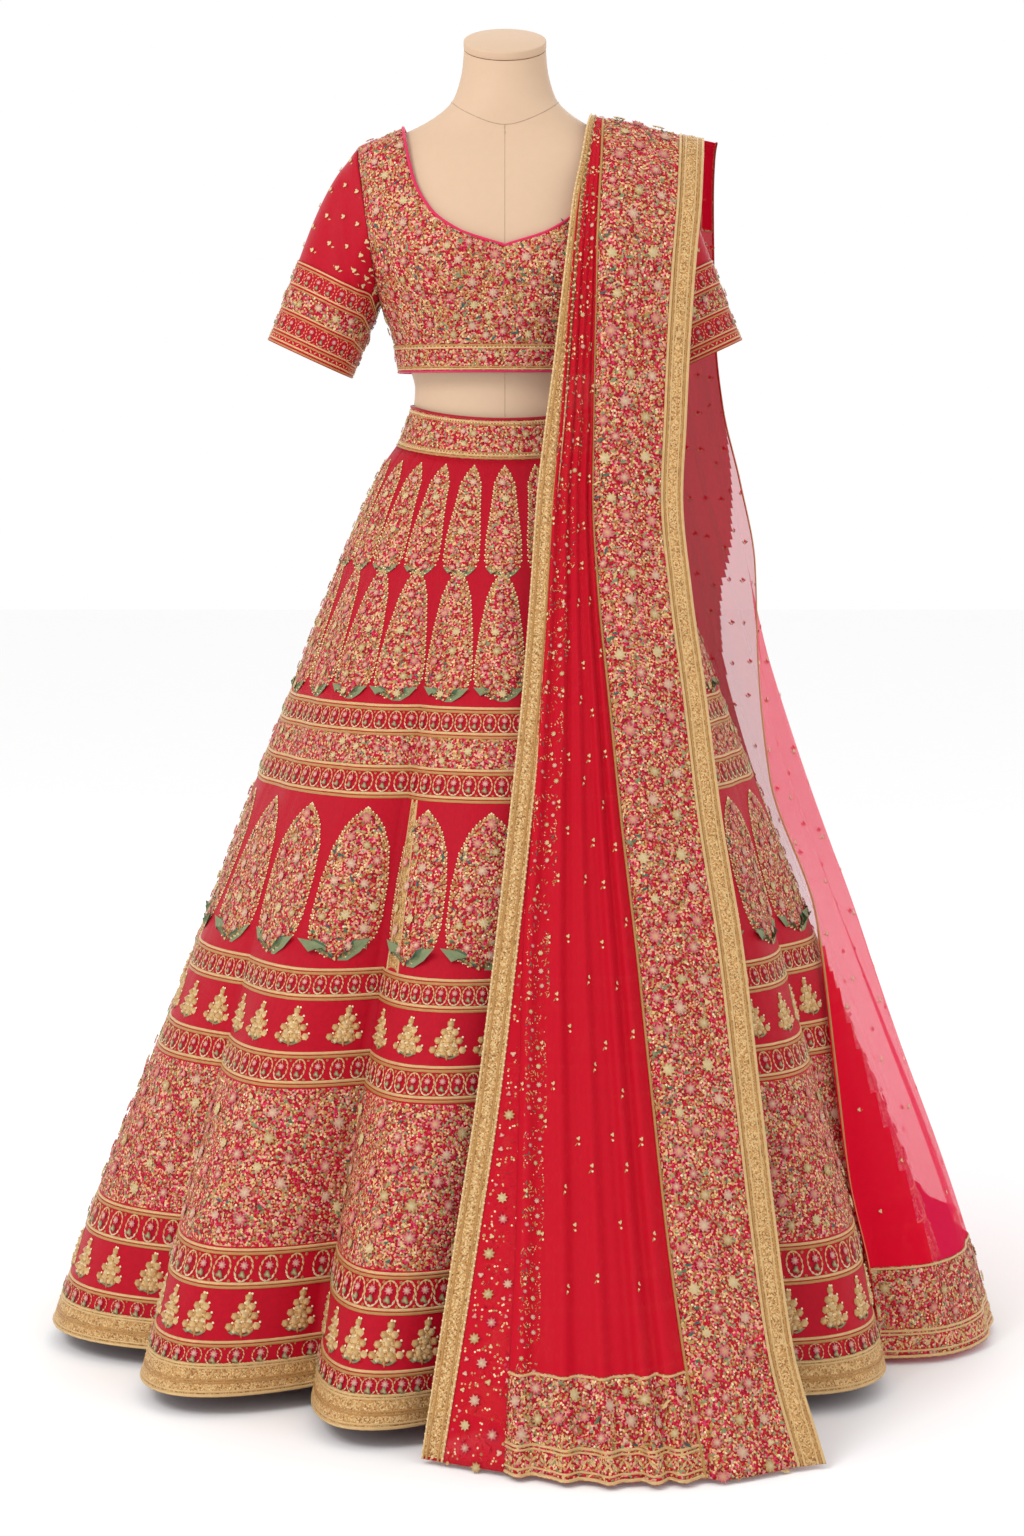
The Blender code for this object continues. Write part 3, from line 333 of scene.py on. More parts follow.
class Face:
    """A cloth face as a fine grid of points, which can be sampled anywhere.

    Columns run with u from 0 to 1 and rows with v from 0, the lower edge, to 1, the upper edge.
    """

    def __init__(self, name: str, points: Array, closed: bool = False) -> None:
        """Works out the outward normals of a grid.

        Args:
            name: the face's name.
            points: rows x columns x 3 places, with a repeated last column where the face is closed.
            closed: whether the last column meets the first.
        """
        self.name, self.points, self.closed = name, points, closed
        along = np.gradient(points, axis=1)
        if closed:
            along[:, 0] = along[:, -1] = (points[:, 1] - points[:, -2]) / 2.0
        up = np.gradient(points, axis=0)
        normals = np.cross(along, up)
        lengths = np.linalg.norm(normals, axis=2, keepdims=True)
        self.normals = normals / np.maximum(lengths, 1e-12)
        self.along = np.linalg.norm(along, axis=2) * (points.shape[1] - 1)
        self.up = np.linalg.norm(up, axis=2) * (points.shape[0] - 1)

    def sample(self, grid: Array, u: Array, v: Array) -> Array:
        """Reads one of the face's grids between its points."""
        rows, columns = grid.shape[:2]
        x = (np.mod(u, 1.0) if self.closed else np.clip(u, 0.0, 1.0)) * (columns - 1)
        y = np.clip(v, 0.0, 1.0) * (rows - 1)
        left, low = np.minimum(x.astype(int), columns - 2), np.minimum(y.astype(int), rows - 2)
        fx, fy = x - left, y - low
        if grid.ndim == 3:
            fx, fy = fx[..., None], fy[..., None]
        lower = grid[low, left] * (1 - fx) + grid[low, left + 1] * fx
        upper = grid[low + 1, left] * (1 - fx) + grid[low + 1, left + 1] * fx
        return lower * (1 - fy) + upper * fy

    def frames(self, u: Array, v: Array) -> tuple[Array, Array, Array, Array]:
        """Places with their level, upward and outward directions.

        Returns:
            The places, the directions across, the directions up, and the outward directions.
        """
        place = self.sample(self.points, u, v)
        out = self.sample(self.normals, u, v)
        out /= np.linalg.norm(out, axis=-1, keepdims=True)
        step = 1.0 / self.points.shape[1]
        across = self.sample(self.points, u + step, v) - self.sample(self.points, u - step, v)
        across -= out * np.sum(across * out, axis=-1, keepdims=True)
        across /= np.maximum(np.linalg.norm(across, axis=-1, keepdims=True), 1e-12)
        return place, across, np.cross(out, across), out

    def shift(self, u: Array, v: Array, across: Array, up: Array) -> tuple[Array, Array]:
        """Moves places of the face by metres across and up."""
        return u + across / self.sample(self.along, u, v), v + up / self.sample(self.up, u, v)

    def raised(self, name: str, height: float) -> "Face":
        """A copy of the face, moved outward."""
        return Face(name, self.points + self.normals * height, self.closed)

    def part(self, name: str, low: float, high: float, rows: int) -> "Face":
        """The stretch of the face between two of its levels."""
        v, u = np.meshgrid(np.linspace(low, high, rows), np.linspace(0, 1, self.points.shape[1]), indexing="ij")
        u = np.minimum(u, 1.0 - 1e-9) if self.closed else u
        points = self.sample(self.points, u, v)
        if self.closed:
            points[:, -1] = points[:, 0]
        return Face(name, points, self.closed)

    def size(self) -> tuple[float, float, float]:
        """The face's greatest width and length, and its area, laid flat."""
        steps = np.diff(self.points, axis=1), np.diff(self.points, axis=0)
        width = np.linalg.norm(steps[0], axis=2).sum(axis=1).max()
        length = np.linalg.norm(steps[1], axis=2).sum(axis=0).max()
        cells = np.cross(steps[0][:-1], steps[1][:, :-1])
        return float(width), float(length), float(np.linalg.norm(cells, axis=2).sum())

    def mesh(self, shape: bmesh.types.BMesh) -> None:
        """Adds the face to a bmesh, with a layer of UVs in metres."""
        rows, columns = self.points.shape[:2]
        layer = shape.loops.layers.uv.get("metres") or shape.loops.layers.uv.new("metres")
        width, length, _ = self.size()
        made = bmesh.ops.create_grid(shape, x_segments=columns - 1, y_segments=rows - 1, size=0.5)
        places = {}
        for vert in made["verts"]:
            places[vert] = (vert.co.x + 0.5, vert.co.y + 0.5)
        faces = {one for vert in made["verts"] for one in vert.link_faces}
        for one in faces:
            for loop in one.loops:
                u, v = places[loop.vert]
                loop[layer].uv = (u * width, v * length)
        for vert, (u, v) in places.items():
            vert.co = self.points[round(v * (rows - 1)), round(u * (columns - 1))]


def face_from(name: str, surface: Callable[[float, float], Array], columns: int, rows: int, closed: bool) -> Face:
    """A face from a function of u and v.

    Args:
        name: the face's name.
        surface: gives the place at u and v.
        columns: cells across.
        rows: cells up.
        closed: whether the face goes all the way round.

    Returns:
        The face, turned so that its rows keep their order.
    """
    points = [[surface(i / columns, j / rows) for i in range(columns + 1)] for j in range(rows + 1)]
    grid = np.array(points)
    if closed:
        grid[:, -1] = grid[:, 0]
    return Face(name, grid, closed)


def loft(rows: Array, cells: int) -> Array:
    """A fine grid through a few rows of points, from the last row (v = 0) to the first (v = 1)."""
    middle = rows.mean(axis=1)
    along = np.concatenate(((0.0,), np.cumsum(np.linalg.norm(np.diff(middle, axis=0), axis=1))))
    curve = Curve(along, rows)
    return np.array([curve(along[-1] * (1.0 - cell / cells)) for cell in range(cells + 1)])


@dataclass(frozen=True)
class Finish:
    """A procedural material.

    Attributes:
        name: the material's name.
        colour: its main colour in linear light.
        roughness: how matt it is.
        metallic: 1 for metal, 0 for the rest.
        sheen: the soft edge shine of cloth.
        grain: the height of its weave or grain, in metres.
        pitch: the distance between its threads, in metres.
        variation: how much its colour varies.
        alpha: below 1 for sheer net.
        thread: whether it reads the colours that the stitches carry.
        woven: whether its threads run with the cloth's UVs.
        patch: the tones of its close stitches, where it has them.
        gloss: how much it mirrors.
        painted_glow: painted light, an emission in the material's own colour at this share of it, which stands in for
            the light that comes through thin net.
    """

    name: str
    colour: tuple[float, float, float]
    roughness: float = 0.5
    metallic: float = 0.0
    sheen: float = 0.0
    grain: float = 0.0
    pitch: float = 0.0008
    variation: float = 0.0
    alpha: float = 1.0
    thread: bool = False
    woven: bool = False
    patch: tuple[Thread, ...] = ()
    gloss: float = 0.12
    painted_glow: float = 0.0

    def material(self) -> bpy.types.Material:
        """Builds the material, or finds it if it is there."""
        found = bpy.data.materials.get(self.name)
        if found:
            return found
        material = bpy.data.materials.new(self.name)
        material.use_nodes = True
        nodes, links = material.node_tree.nodes, material.node_tree.links
        shader = nodes["Principled BSDF"]
        shader.inputs["Base Color"].default_value = (*self.colour, 1.0)
        shader.inputs["Roughness"].default_value = self.roughness
        shader.inputs["Metallic"].default_value = self.metallic
        shader.inputs["Alpha"].default_value = self.alpha
        shader.inputs["Specular IOR Level"].default_value = self.gloss
        # Emission in the material's own colour is painted light; the thin nets are given it to stand in for the light
        # that comes through them.
        shader.inputs["Emission Color"].default_value = (*self.colour, 1.0)
        shader.inputs["Emission Strength"].default_value = self.painted_glow
        shader.inputs["Sheen Weight"].default_value = self.sheen
        shader.inputs["Sheen Roughness"].default_value = 0.45
        shader.inputs["Sheen Tint"].default_value = (*[0.5 + 0.5 * c for c in self.colour], 1.0)
        place = nodes.new("ShaderNodeTexCoord").outputs["UV" if self.woven else "Object"]
        colour = None
        if self.thread:
            carried = nodes.new("ShaderNodeAttribute")
            carried.attribute_name = "thread"
            colour = carried.outputs["Color"]
        if self.patch:
            colour, height = self.patches(nodes, links, place)
            links.new(height, shader.inputs["Normal"])
        if self.variation:
            colour = self.varied(nodes, links, place, colour)
        if colour is not None:
            links.new(colour, shader.inputs["Base Color"])
        if self.grain and not self.patch:
            links.new(self.bump(nodes, links, place), shader.inputs["Normal"])
        if self.alpha < 1.0:
            material.surface_render_method = "DITHERED"
        return material

    def patches(
        self, nodes: bpy.types.Nodes, links: bpy.types.NodeLinks, place: bpy.types.NodeSocket
    ) -> tuple[bpy.types.NodeSocket, bpy.types.NodeSocket]:
        """Small knots of mixed thread colours, as a colour and a relief."""
        cells = nodes.new("ShaderNodeTexVoronoi")
        cells.inputs["Scale"].default_value = 1.0 / self.pitch
        links.new(place, cells.inputs["Vector"])
        parts = nodes.new("ShaderNodeSeparateColor")
        links.new(cells.outputs["Color"], parts.inputs["Color"])
        tones = nodes.new("ShaderNodeValToRGB")
        tones.color_ramp.interpolation = "CONSTANT"
        for number, tone in enumerate(self.patch):
            place_on_ramp = number / len(self.patch)
            stop = tones.color_ramp.elements[0] if number == 0 else tones.color_ramp.elements.new(place_on_ramp)
            stop.position = place_on_ramp
            stop.color = (*tone.value, 1.0)
        tones.color_ramp.elements[-1].color = (*self.patch[-1].value, 1.0)
        links.new(parts.outputs["Red"], tones.inputs["Fac"])
        bump = nodes.new("ShaderNodeBump")
        bump.invert = True
        bump.inputs["Strength"].default_value = 1.0
        bump.inputs["Distance"].default_value = self.grain
        links.new(cells.outputs["Distance"], bump.inputs["Height"])
        return tones.outputs["Color"], bump.outputs["Normal"]

    def varied(self, nodes: bpy.types.Nodes, links: bpy.types.NodeLinks, place: bpy.types.NodeSocket, colour) -> bpy.types.NodeSocket:
        """Mixes the colour with a darker one by a soft noise."""
        noise = nodes.new("ShaderNodeTexNoise")
        noise.inputs["Scale"].default_value = 0.12 / self.pitch
        noise.inputs["Detail"].default_value = 4.0
        links.new(place, noise.inputs["Vector"])
        blend = nodes.new("ShaderNodeMix")
        blend.data_type = "RGBA"
        blend.blend_type = "MULTIPLY"
        blend.inputs["Factor"].default_value = self.variation
        tone = nodes.new("ShaderNodeValToRGB")
        tone.color_ramp.elements[0].position = 0.3
        tone.color_ramp.elements[0].color = (0.35, 0.35, 0.38, 1.0)
        tone.color_ramp.elements[1].position = 0.7
        links.new(noise.outputs["Fac"], tone.inputs["Fac"])
        if colour is not None:
            links.new(colour, blend.inputs["A"])
        else:
            blend.inputs["A"].default_value = (*self.colour, 1.0)
        links.new(tone.outputs["Color"], blend.inputs["B"])
        return blend.outputs["Result"]

    def bump(self, nodes: bpy.types.Nodes, links: bpy.types.NodeLinks, place: bpy.types.NodeSocket) -> bpy.types.NodeSocket:
        """Crossed threads on woven cloth, and a fine wrapped grain on the rest."""
        bump = nodes.new("ShaderNodeBump")
        bump.inputs["Strength"].default_value = 1.0
        bump.inputs["Distance"].default_value = self.grain
        wave = nodes.new("ShaderNodeTexWave")
        wave.inputs["Scale"].default_value = 0.31 / self.pitch
        wave.inputs["Distortion"].default_value = 0.6
        wave.inputs["Detail"].default_value = 1.0
        wave.bands_direction = "X" if self.woven else "DIAGONAL"
        links.new(place, wave.inputs["Vector"])
        height = wave.outputs["Fac"]
        if self.woven:
            weft = nodes.new("ShaderNodeTexWave")
            weft.inputs["Scale"].default_value = 0.28 / self.pitch
            weft.inputs["Distortion"].default_value = 1.2
            weft.bands_direction = "Y"
            links.new(place, weft.inputs["Vector"])
            both = nodes.new("ShaderNodeMath")
            both.operation = "MAXIMUM"
            links.new(height, both.inputs[0])
            links.new(weft.outputs["Fac"], both.inputs[1])
            height = both.outputs["Value"]
        links.new(height, bump.inputs["Height"])
        return bump.outputs["Normal"]


RAW_SILK = Finish("raw_silk", Thread.CRIMSON.value, 0.46, 0.0, 0.06, 0.00010, 0.0009, 0.22, woven=True)
SATIN = Finish("choli_satin", Thread.CRIMSON.value, 0.38, 0.0, 0.06, 0.00006, 0.0007, 0.18, woven=True)
LINING = Finish("silk_inside", Thread.RUBY.value, 0.6, 0.0, 0.05, 0.0001, 0.0010, 0.2, woven=True)
MIXED = (
    Thread.GOLD,
    Thread.CRIMSON,
    Thread.OLD_GOLD,
    Thread.RUBY,
    Thread.BLUSH,
    Thread.CRIMSON,
    Thread.PALE_GOLD,
    Thread.PINK,
    Thread.SAGE,
    Thread.CRIMSON,
)
GILDED = (Thread.GOLD, Thread.PALE_GOLD, Thread.GOLD, Thread.OLD_GOLD, Thread.PALE_GOLD, Thread.GOLD)
GOLD_WEAVE = Finish("gold_weave", Thread.OLD_GOLD.value, 0.45, 0.20, 0.0, 0.0010, 0.0015, 0.22, patch=GILDED, gloss=0.4)
STITCHED = Finish("stitched_ground", Thread.OLD_GOLD.value, 0.55, 0.0, 0.0, 0.0012, 0.0022, 0.22, patch=MIXED, gloss=0.2)
SILK_THREAD = Finish("silk_thread", Thread.PINK.value, 0.5, 0.0, 0.0, 0.0003, 0.0007, 0.22, thread=True, gloss=0.25)
METAL_THREAD = Finish("metal_thread", Thread.GOLD.value, 0.38, 0.25, 0.0, 0.0004, 0.0009, 0.22, thread=True, gloss=0.5)
GLASS_BEAD = Finish("glass_bead", Thread.CREAM.value, 0.2, 0.1, 0.0, 0.0, 0.001, 0.0, thread=True, gloss=0.6)
PIPING = Finish("silk_piping", Thread.PINK.value, 0.5, 0.0, 0.3, 0.0001, 0.0008, 0.15)
FRONT_NET = Finish("folded_net", linear(194, 2, 32), 0.55, 0.0, 0.05, 0.00012, 0.0011, 0.10, 0.93, woven=True)
# The layered and the sheer net shine with painted light: an emission in their own colour that stands in for the light
# coming through thin net.
DEEP_NET = Finish("layered_net", linear(190, 3, 34), 0.6, 0.0, 0.0, 0.00012, 0.0011, 0.12, 0.95, woven=True, gloss=0.05, painted_glow=0.28)
SHEER_NET = Finish("sheer_net", linear(224, 26, 74), 0.6, 0.0, 0.0, 0.00012, 0.0011, 0.06, 0.52, woven=True, gloss=0.05, painted_glow=0.30)
NET_INSIDE = Finish("net_inside", linear(214, 20, 60), 0.6, 0.0, 0.0, 0.0, 0.0011, 0.0, 0.06, woven=True)
FORM_SKIN = Finish("form_skin", linear(206, 176, 148), 0.5, 0.0, 0.0, 0.00003, 0.0011, 0.03)
FORM_METAL = Finish("form_metal", linear(120, 120, 122), 0.4, 0.9, 0.0, 0.00004, 0.002, 0.1)
FLOOR = Finish("pale_floor", (0.97, 0.97, 0.97), 0.9, 0.0, 0.0, 0.00001, 0.01, 0.01)


def cloth_piece(
    name: str, faces: Sequence[Face], finish: Finish, thickness: float, nodes: Sequence[str], inside: Finish | None = None
) -> bpy.types.Object:
    """A thin cloth shell over one or more faces.

    Args:
        name: the piece's name.
        faces: the faces, joined where they meet.
        finish: its outside.
        thickness: of the cloth, inward from the faces.
        nodes: the solids that it stands for.
        inside: its inner side, where that differs.

    Returns:
        The piece.
    """
    shape = bmesh.new()
    for face in faces:
        face.mesh(shape)
    bmesh.ops.remove_doubles(shape, verts=shape.verts, dist=0.00002)
    mesh = bpy.data.meshes.new(name)
    shape.to_mesh(mesh)
    shape.free()
    mesh.materials.append(finish.material())
    mesh.materials.append((inside or finish).material())
    piece = add(name, mesh)
    wall = piece.modifiers.new("wall", "SOLIDIFY")
    wall.thickness = thickness
    wall.offset = -1.0
    wall.use_even_offset = False
    wall.material_offset = 1 if inside else 0
    wear(piece, nodes)
    return piece


def add(name: str, mesh: bpy.types.Mesh) -> bpy.types.Object:
    """Puts a mesh in the scene, shaded smooth."""
    mesh.shade_smooth()
    piece = bpy.data.objects.new(name, mesh)
    bpy.context.scene.collection.objects.link(piece)
    return piece


def wear(piece: bpy.types.Object, nodes: Sequence[str] = ()) -> None:
    """Makes a piece part of the object and logs it."""
    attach(piece, "root")
    if nodes:
        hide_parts(*nodes)
    LOG.info("%s: %d faces", piece.name, len(piece.data.polygons))


def declare(piece: bpy.types.Object, faces: Sequence[Face]) -> None:
    """Logs a piece's cut as a sheet of cloth of its faces' own flat size."""
    sizes = [face.size() for face in faces]
    width = sum(size[0] for size in sizes)
    length = max(size[1] for size in sizes)
    area = min(sum(size[2] for size in sizes), width * length)
    LOG.info("%s cut: %.3f x %.3f m, %.3f square metres", piece.name, width, length, area)


@dataclass(frozen=True)
class Stamp:
    """A small stitched form of unit radius, which is repeated many times.

    Attributes:
        verts: its points, with x across, y up and z outward.
        faces: its triangles.
        tones: for each point, which of a placement's colours it takes.
        works: for each triangle, what it is made of.
    """

    verts: Array
    faces: Array
    tones: Array
    works: Array


def stamp_from(shape: bmesh.types.BMesh, tone: Callable[[Vector], int], work: Callable[[Vector], Work]) -> Stamp:
    """Reads a finished bmesh as a stamp."""
    bmesh.ops.triangulate(shape, faces=shape.faces)
    shape.verts.index_update()
    verts = np.array([vert.co[:] for vert in shape.verts])
    faces = np.array([[vert.index for vert in one.verts] for one in shape.faces])
    tones = np.array([tone(vert.co) for vert in shape.verts])
    works = np.array([work(one.calc_center_median()).value for one in shape.faces])
    shape.free()
    return Stamp(verts, faces, tones, works)


def flower_stamp(petals: int, heart: float, rise: float) -> Stamp:
    """A flower of raised petals round a beaded heart.

    Args:
        petals: how many.
        heart: radius of its heart, as a share.
        rise: height of its petals, as a share.
    """
    shape = bmesh.new()
    bmesh.ops.create_circle(shape, cap_ends=True, segments=2 * petals, radius=1.0)
    made = bmesh.ops.inset_region(shape, faces=shape.faces[:], thickness=1.0 - heart, use_even_offset=False)
    inner = set(vert for one in shape.faces if one not in made["faces"] for vert in one.verts)
    middle = [one for one in shape.faces if one not in made["faces"]]
    bmesh.ops.poke(shape, faces=middle)
    for vert in shape.verts:
        turn = math.atan2(vert.co.y, vert.co.x)
        petal = round(turn / math.pi * petals) % 2 == 0
        flat = vert.co.xy.length
        if flat < 0.01:
            vert.co.z = rise * 1.5
        elif vert in inner:
            vert.co.xy = vert.co.xy.normalized() * heart * (1.25 if petal else 0.8)
            vert.co.z = rise * (1.15 if petal else 0.55)
        else:
            vert.co.xy = vert.co.xy.normalized() * (1.0 if petal else 0.74)
            vert.co.z = rise * (0.25 if petal else 0.05)
    edge = heart * 1.3

    def tone(place: Vector) -> int:
        """Outer petals, inner ring, heart."""
        far = Vector(place).xy.length
        return 0 if far > edge else (1 if far > 0.01 else 2)

    return stamp_from(shape, tone, lambda place: Work.SILK)


def leaf_stamp() -> Stamp:
    """A pointed leaf along y from its stalk at the origin, with a raised rib."""
    shape = bmesh.new()
    bmesh.ops.create_circle(shape, cap_ends=True, segments=6, radius=1.0)
    outline = ((0.0, 0.0), (0.27, 0.45), (0.24, 1.05), (0.0, 1.7), (-0.24, 1.05), (-0.27, 0.45))
    for vert, (x, y) in zip(shape.verts, outline):
        vert.co = (x, y, -0.03)
    bmesh.ops.poke(shape, faces=shape.faces[:])
    shape.verts.ensure_lookup_table()
    shape.verts[-1].co = (0.0, 0.85, 0.17)
    return stamp_from(shape, lambda place: 1 if place.z > 0.1 else 0, lambda place: Work.SILK)


def dome_stamp(sides: int, rise: float, work: Work) -> Stamp:
    """A bead or a knot as a low dome."""
    shape = bmesh.new()
    bmesh.ops.create_circle(shape, cap_ends=True, segments=sides, radius=1.0)
    bmesh.ops.poke(shape, faces=shape.faces[:])
    for vert in shape.verts:
        vert.co.z = rise if vert.co.xy.length < 0.01 else -0.15
    return stamp_from(shape, lambda place: 1 if place.z > 0.1 else 0, lambda place: work)


def diamond_stamp() -> Stamp:
    """A long stitched lozenge along y, for fillings and gold borders."""
    shape = bmesh.new()
    bmesh.ops.create_circle(shape, cap_ends=True, segments=4, radius=1.0)
    for vert in shape.verts:
        vert.co = (vert.co.x * 0.34, vert.co.y, -0.1)
    bmesh.ops.poke(shape, faces=shape.faces[:])
    for vert in shape.verts:
        if vert.co.xy.length < 0.01:
            vert.co.z = 0.26
    return stamp_from(shape, lambda place: 0, lambda place: Work.METAL)


class Motif(Enum):
    """The stitched forms."""

    ROSE = "rose"
    BLOSSOM = "blossom"
    LEAF = "leaf"
    BEAD = "bead"
    KNOT = "knot"
    LOZENGE = "lozenge"


STAMPS = {
    Motif.ROSE: flower_stamp(8, 0.46, 0.20),
    Motif.BLOSSOM: flower_stamp(5, 0.40, 0.24),
    Motif.LEAF: leaf_stamp(),
    Motif.BEAD: dome_stamp(6, 0.85, Work.BEAD),
    Motif.KNOT: dome_stamp(6, 0.7, Work.METAL),
    Motif.LOZENGE: diamond_stamp(),
}
REACH = {Motif.ROSE: 1.0, Motif.BLOSSOM: 1.0, Motif.LEAF: 0.62, Motif.BEAD: 1.0, Motif.KNOT: 1.0, Motif.LOZENGE: 0.6}


@dataclass
class Stitch:
    """One stitched form in a flat pattern: x across, y up, in metres."""

    motif: Motif
    x: float
    y: float
    turn: float
    size: float
    tones: tuple[Thread, Thread, Thread]


class Stitchery:
    """Gathers stitched forms on faces, and joins them into pieces."""

    def __init__(self) -> None:
        """Starts empty."""
        self.clear()

    def clear(self) -> None:
        """Lets go of all that is gathered."""
        self.verts: list[Array] = []
        self.faces: list[Array] = []
        self.colours: list[Array] = []
        self.works: list[Array] = []
        self.count = 0

    def append(self, verts: Array, faces: Array, colours: Array, works: Array) -> None:
        """Adds points, triangles, colours and materials."""
        self.verts.append(verts)
        self.faces.append(faces + self.count)
        self.colours.append(colours)
        self.works.append(works)
        self.count += len(verts)

    def lay(self, face: Face, stitches: Sequence[Stitch], u: Array, v: Array, mirror: Array | None = None, lift: float = 0.0) -> None:
        """Lays a flat pattern at each of several places of a face.

        Args:
            face: the face.
            stitches: the pattern, in metres about its own middle.
            u: the places' u.
            v: the places' v.
            mirror: -1 where the pattern is turned over sideways.
            lift: how far it stands off the face.
        """
        u, v = np.atleast_1d(u).astype(float), np.atleast_1d(v).astype(float)
        flip = np.ones(len(u)) if mirror is None else mirror
        for motif in Motif:
            chosen = [stitch for stitch in stitches if stitch.motif is motif]
            if not chosen:
                continue
            x = np.array([stitch.x for stitch in chosen])[None] * flip[:, None]
            y = np.array([stitch.y for stitch in chosen])[None] * np.ones((len(u), 1))
            uu, vv = face.shift(u[:, None] + 0.0 * x, v[:, None] + 0.0 * y, x, y)
            turn = np.array([stitch.turn for stitch in chosen])[None] * flip[:, None]
            size = np.array([stitch.size for stitch in chosen])[None] + 0.0 * x
            tones = np.array([[tone.value for tone in stitch.tones] for stitch in chosen])
            tones = np.broadcast_to(tones, (len(u), *tones.shape)).reshape(-1, 3, 3)
            self.scatter(face, motif, uu.ravel(), vv.ravel(), turn.ravel(), size.ravel(), tones, lift)

    def scatter(self, face: Face, motif: Motif, u: Array, v: Array, turn: Array, size: Array, tones: Array, lift: float = 0.0) -> None:
        """Places copies of one stitched form on a face."""
        stamp = STAMPS[motif]
        keep = (v >= 0.0) & (v <= 1.0)
        if not face.closed:
            keep &= (u >= 0.0) & (u <= 1.0)
        u, v, turn, size, tones = u[keep], v[keep], turn[keep], size[keep], tones[keep]
        if not len(u):
            return
        place, across, up, out = face.frames(u, v)
        cos, sin = np.cos(turn)[:, None], np.sin(turn)[:, None]
        x = stamp.verts[None, :, 0] * cos - stamp.verts[None, :, 1] * sin
        y = stamp.verts[None, :, 0] * sin + stamp.verts[None, :, 1] * cos
        z = np.broadcast_to(stamp.verts[None, :, 2], x.shape)
        grown = size[:, None, None]
        points = place[:, None] + lift * out[:, None]
        points = points + grown * (x[..., None] * across[:, None] + y[..., None] * up[:, None] + z[..., None] * out[:, None])
        step = np.arange(len(u))[:, None, None] * len(stamp.verts)
        faces = (stamp.faces[None] + step).reshape(-1, 3)
        colours = tones[:, stamp.tones].reshape(-1, 3)
        works = np.tile(stamp.works, len(u))
        self.append(points.reshape(-1, 3), faces, colours, works)

    def cord(self, face: Face, u: Array, v: Array, radius: float, tone: Thread, lift: float = 0.0, closed: bool = False) -> None:
        """A couched cord along a path on a face, as a low rounded ridge."""
        place, _, _, out = face.frames(u, v)
        along = np.gradient(place, axis=0)
        if closed:
            along[0] = along[-1] = (place[1] - place[-2])
        side = np.cross(out, along)
        side /= np.maximum(np.linalg.norm(side, axis=1, keepdims=True), 1e-12)
        rows = []
        for across, rise in ((-1.0, -0.15), (-0.55, 0.7), (0.55, 0.7), (1.0, -0.15)):
            rows.append(place + side * across * radius + out * (rise * radius + lift))
        verts = np.stack(rows, axis=1).reshape(-1, 3)
        faces = []
        for number in range(len(u) - 1):
            for strand in range(3):
                a = number * 4 + strand
                faces.append((a + 4, a + 1, a))
                faces.append((a + 4, a + 5, a + 1))
        colours = np.tile(np.array(tone.value), (len(verts), 1))
        self.append(verts, np.array(faces), colours, np.full(len(faces), Work.METAL.value))

    def patch(self, face: Face, u: Array, v: Array, work: Work, lift: float, tone: Thread = Thread.GOLD) -> None:
        """A raised ground of close stitches over a grid of places, with its edges sunk into the cloth.

        Args:
            face: the face that it lies on.
            u: rows x columns of u, each row from left to right.
            v: the same for v, rows from low to high.
            work: what it is made of.
            lift: how far it stands off the face.
            tone: the colour that it carries.
        """
        rows, columns = u.shape
        place, _, _, out = face.frames(u, v)
        height = np.full(u.shape, lift)
        height[:, 0] = height[:, -1] = -0.0004
        if rows > 2:
            height[0] = height[-1] = -0.0004
        points = (place + out * height[..., None]).reshape(-1, 3)
        cells = np.arange((rows - 1) * columns).reshape(rows - 1, columns)[:, :-1].ravel()
        first = np.stack((cells, cells + 1, cells + columns + 1), axis=1)
        second = np.stack((cells, cells + columns + 1, cells + columns), axis=1)
        faces = np.concatenate((first, second))
        colours = np.tile(np.array(tone.value), (len(points), 1))
        self.append(points, faces, colours, np.full(len(faces), work.value))

    def band(self, face: Face, low: float, high: float, work: Work, lift: float, steps: int) -> None:
        """A patch that goes right across a face, or round it, between two of its levels."""
        shares = np.array((0.0, 0.04, 0.2, 0.35, 0.5, 0.65, 0.8, 0.96, 1.0))
        v, u = np.meshgrid(low + shares * (high - low), np.linspace(0.0, 1.0, steps + 1), indexing="ij")
        self.patch(face, u, v, work, lift)

    def runner(self, face: Face, left: float, right: float, work: Work, lift: float, steps: int) -> None:
        """A patch up the whole length of a face between two of its u."""
        inset = 0.08 * (right - left)
        v, u = np.meshgrid(np.linspace(0.0, 1.0, steps + 1), np.array((left, left + inset, right - inset, right)), indexing="ij")
        self.patch(face, u, v, work, lift)

    def piece(self, name: str, slot: str) -> bpy.types.Object:
        """Joins all that is gathered into one piece.

        Args:
            name: the piece's name.
            slot: not used.
        """
        verts, faces = np.concatenate(self.verts), np.concatenate(self.faces)
        colours, works = np.concatenate(self.colours), np.concatenate(self.works)
        mesh = bpy.data.meshes.new(name)
        mesh.vertices.add(len(verts))
        mesh.vertices.foreach_set("co", verts.astype(np.float32).ravel())
        mesh.loops.add(3 * len(faces))
        mesh.loops.foreach_set("vertex_index", faces.astype(np.int32).ravel())
        mesh.polygons.add(len(faces))
        mesh.polygons.foreach_set("loop_start", np.arange(0, 3 * len(faces), 3, dtype=np.int32))
        mesh.polygons.foreach_set("material_index", works.astype(np.int32))
        mesh.update(calc_edges=True)
        layer = mesh.color_attributes.new("thread", "FLOAT_COLOR", "POINT")
        full = np.concatenate((colours, np.ones((len(colours), 1))), axis=1)
        layer.data.foreach_set("color", full.astype(np.float32).ravel())
        for finish in (SILK_THREAD, METAL_THREAD, GLASS_BEAD, STITCHED, GOLD_WEAVE):
            mesh.materials.append(finish.material())
        made = add(name, mesh)
        wear(made)
        self.clear()
        return made


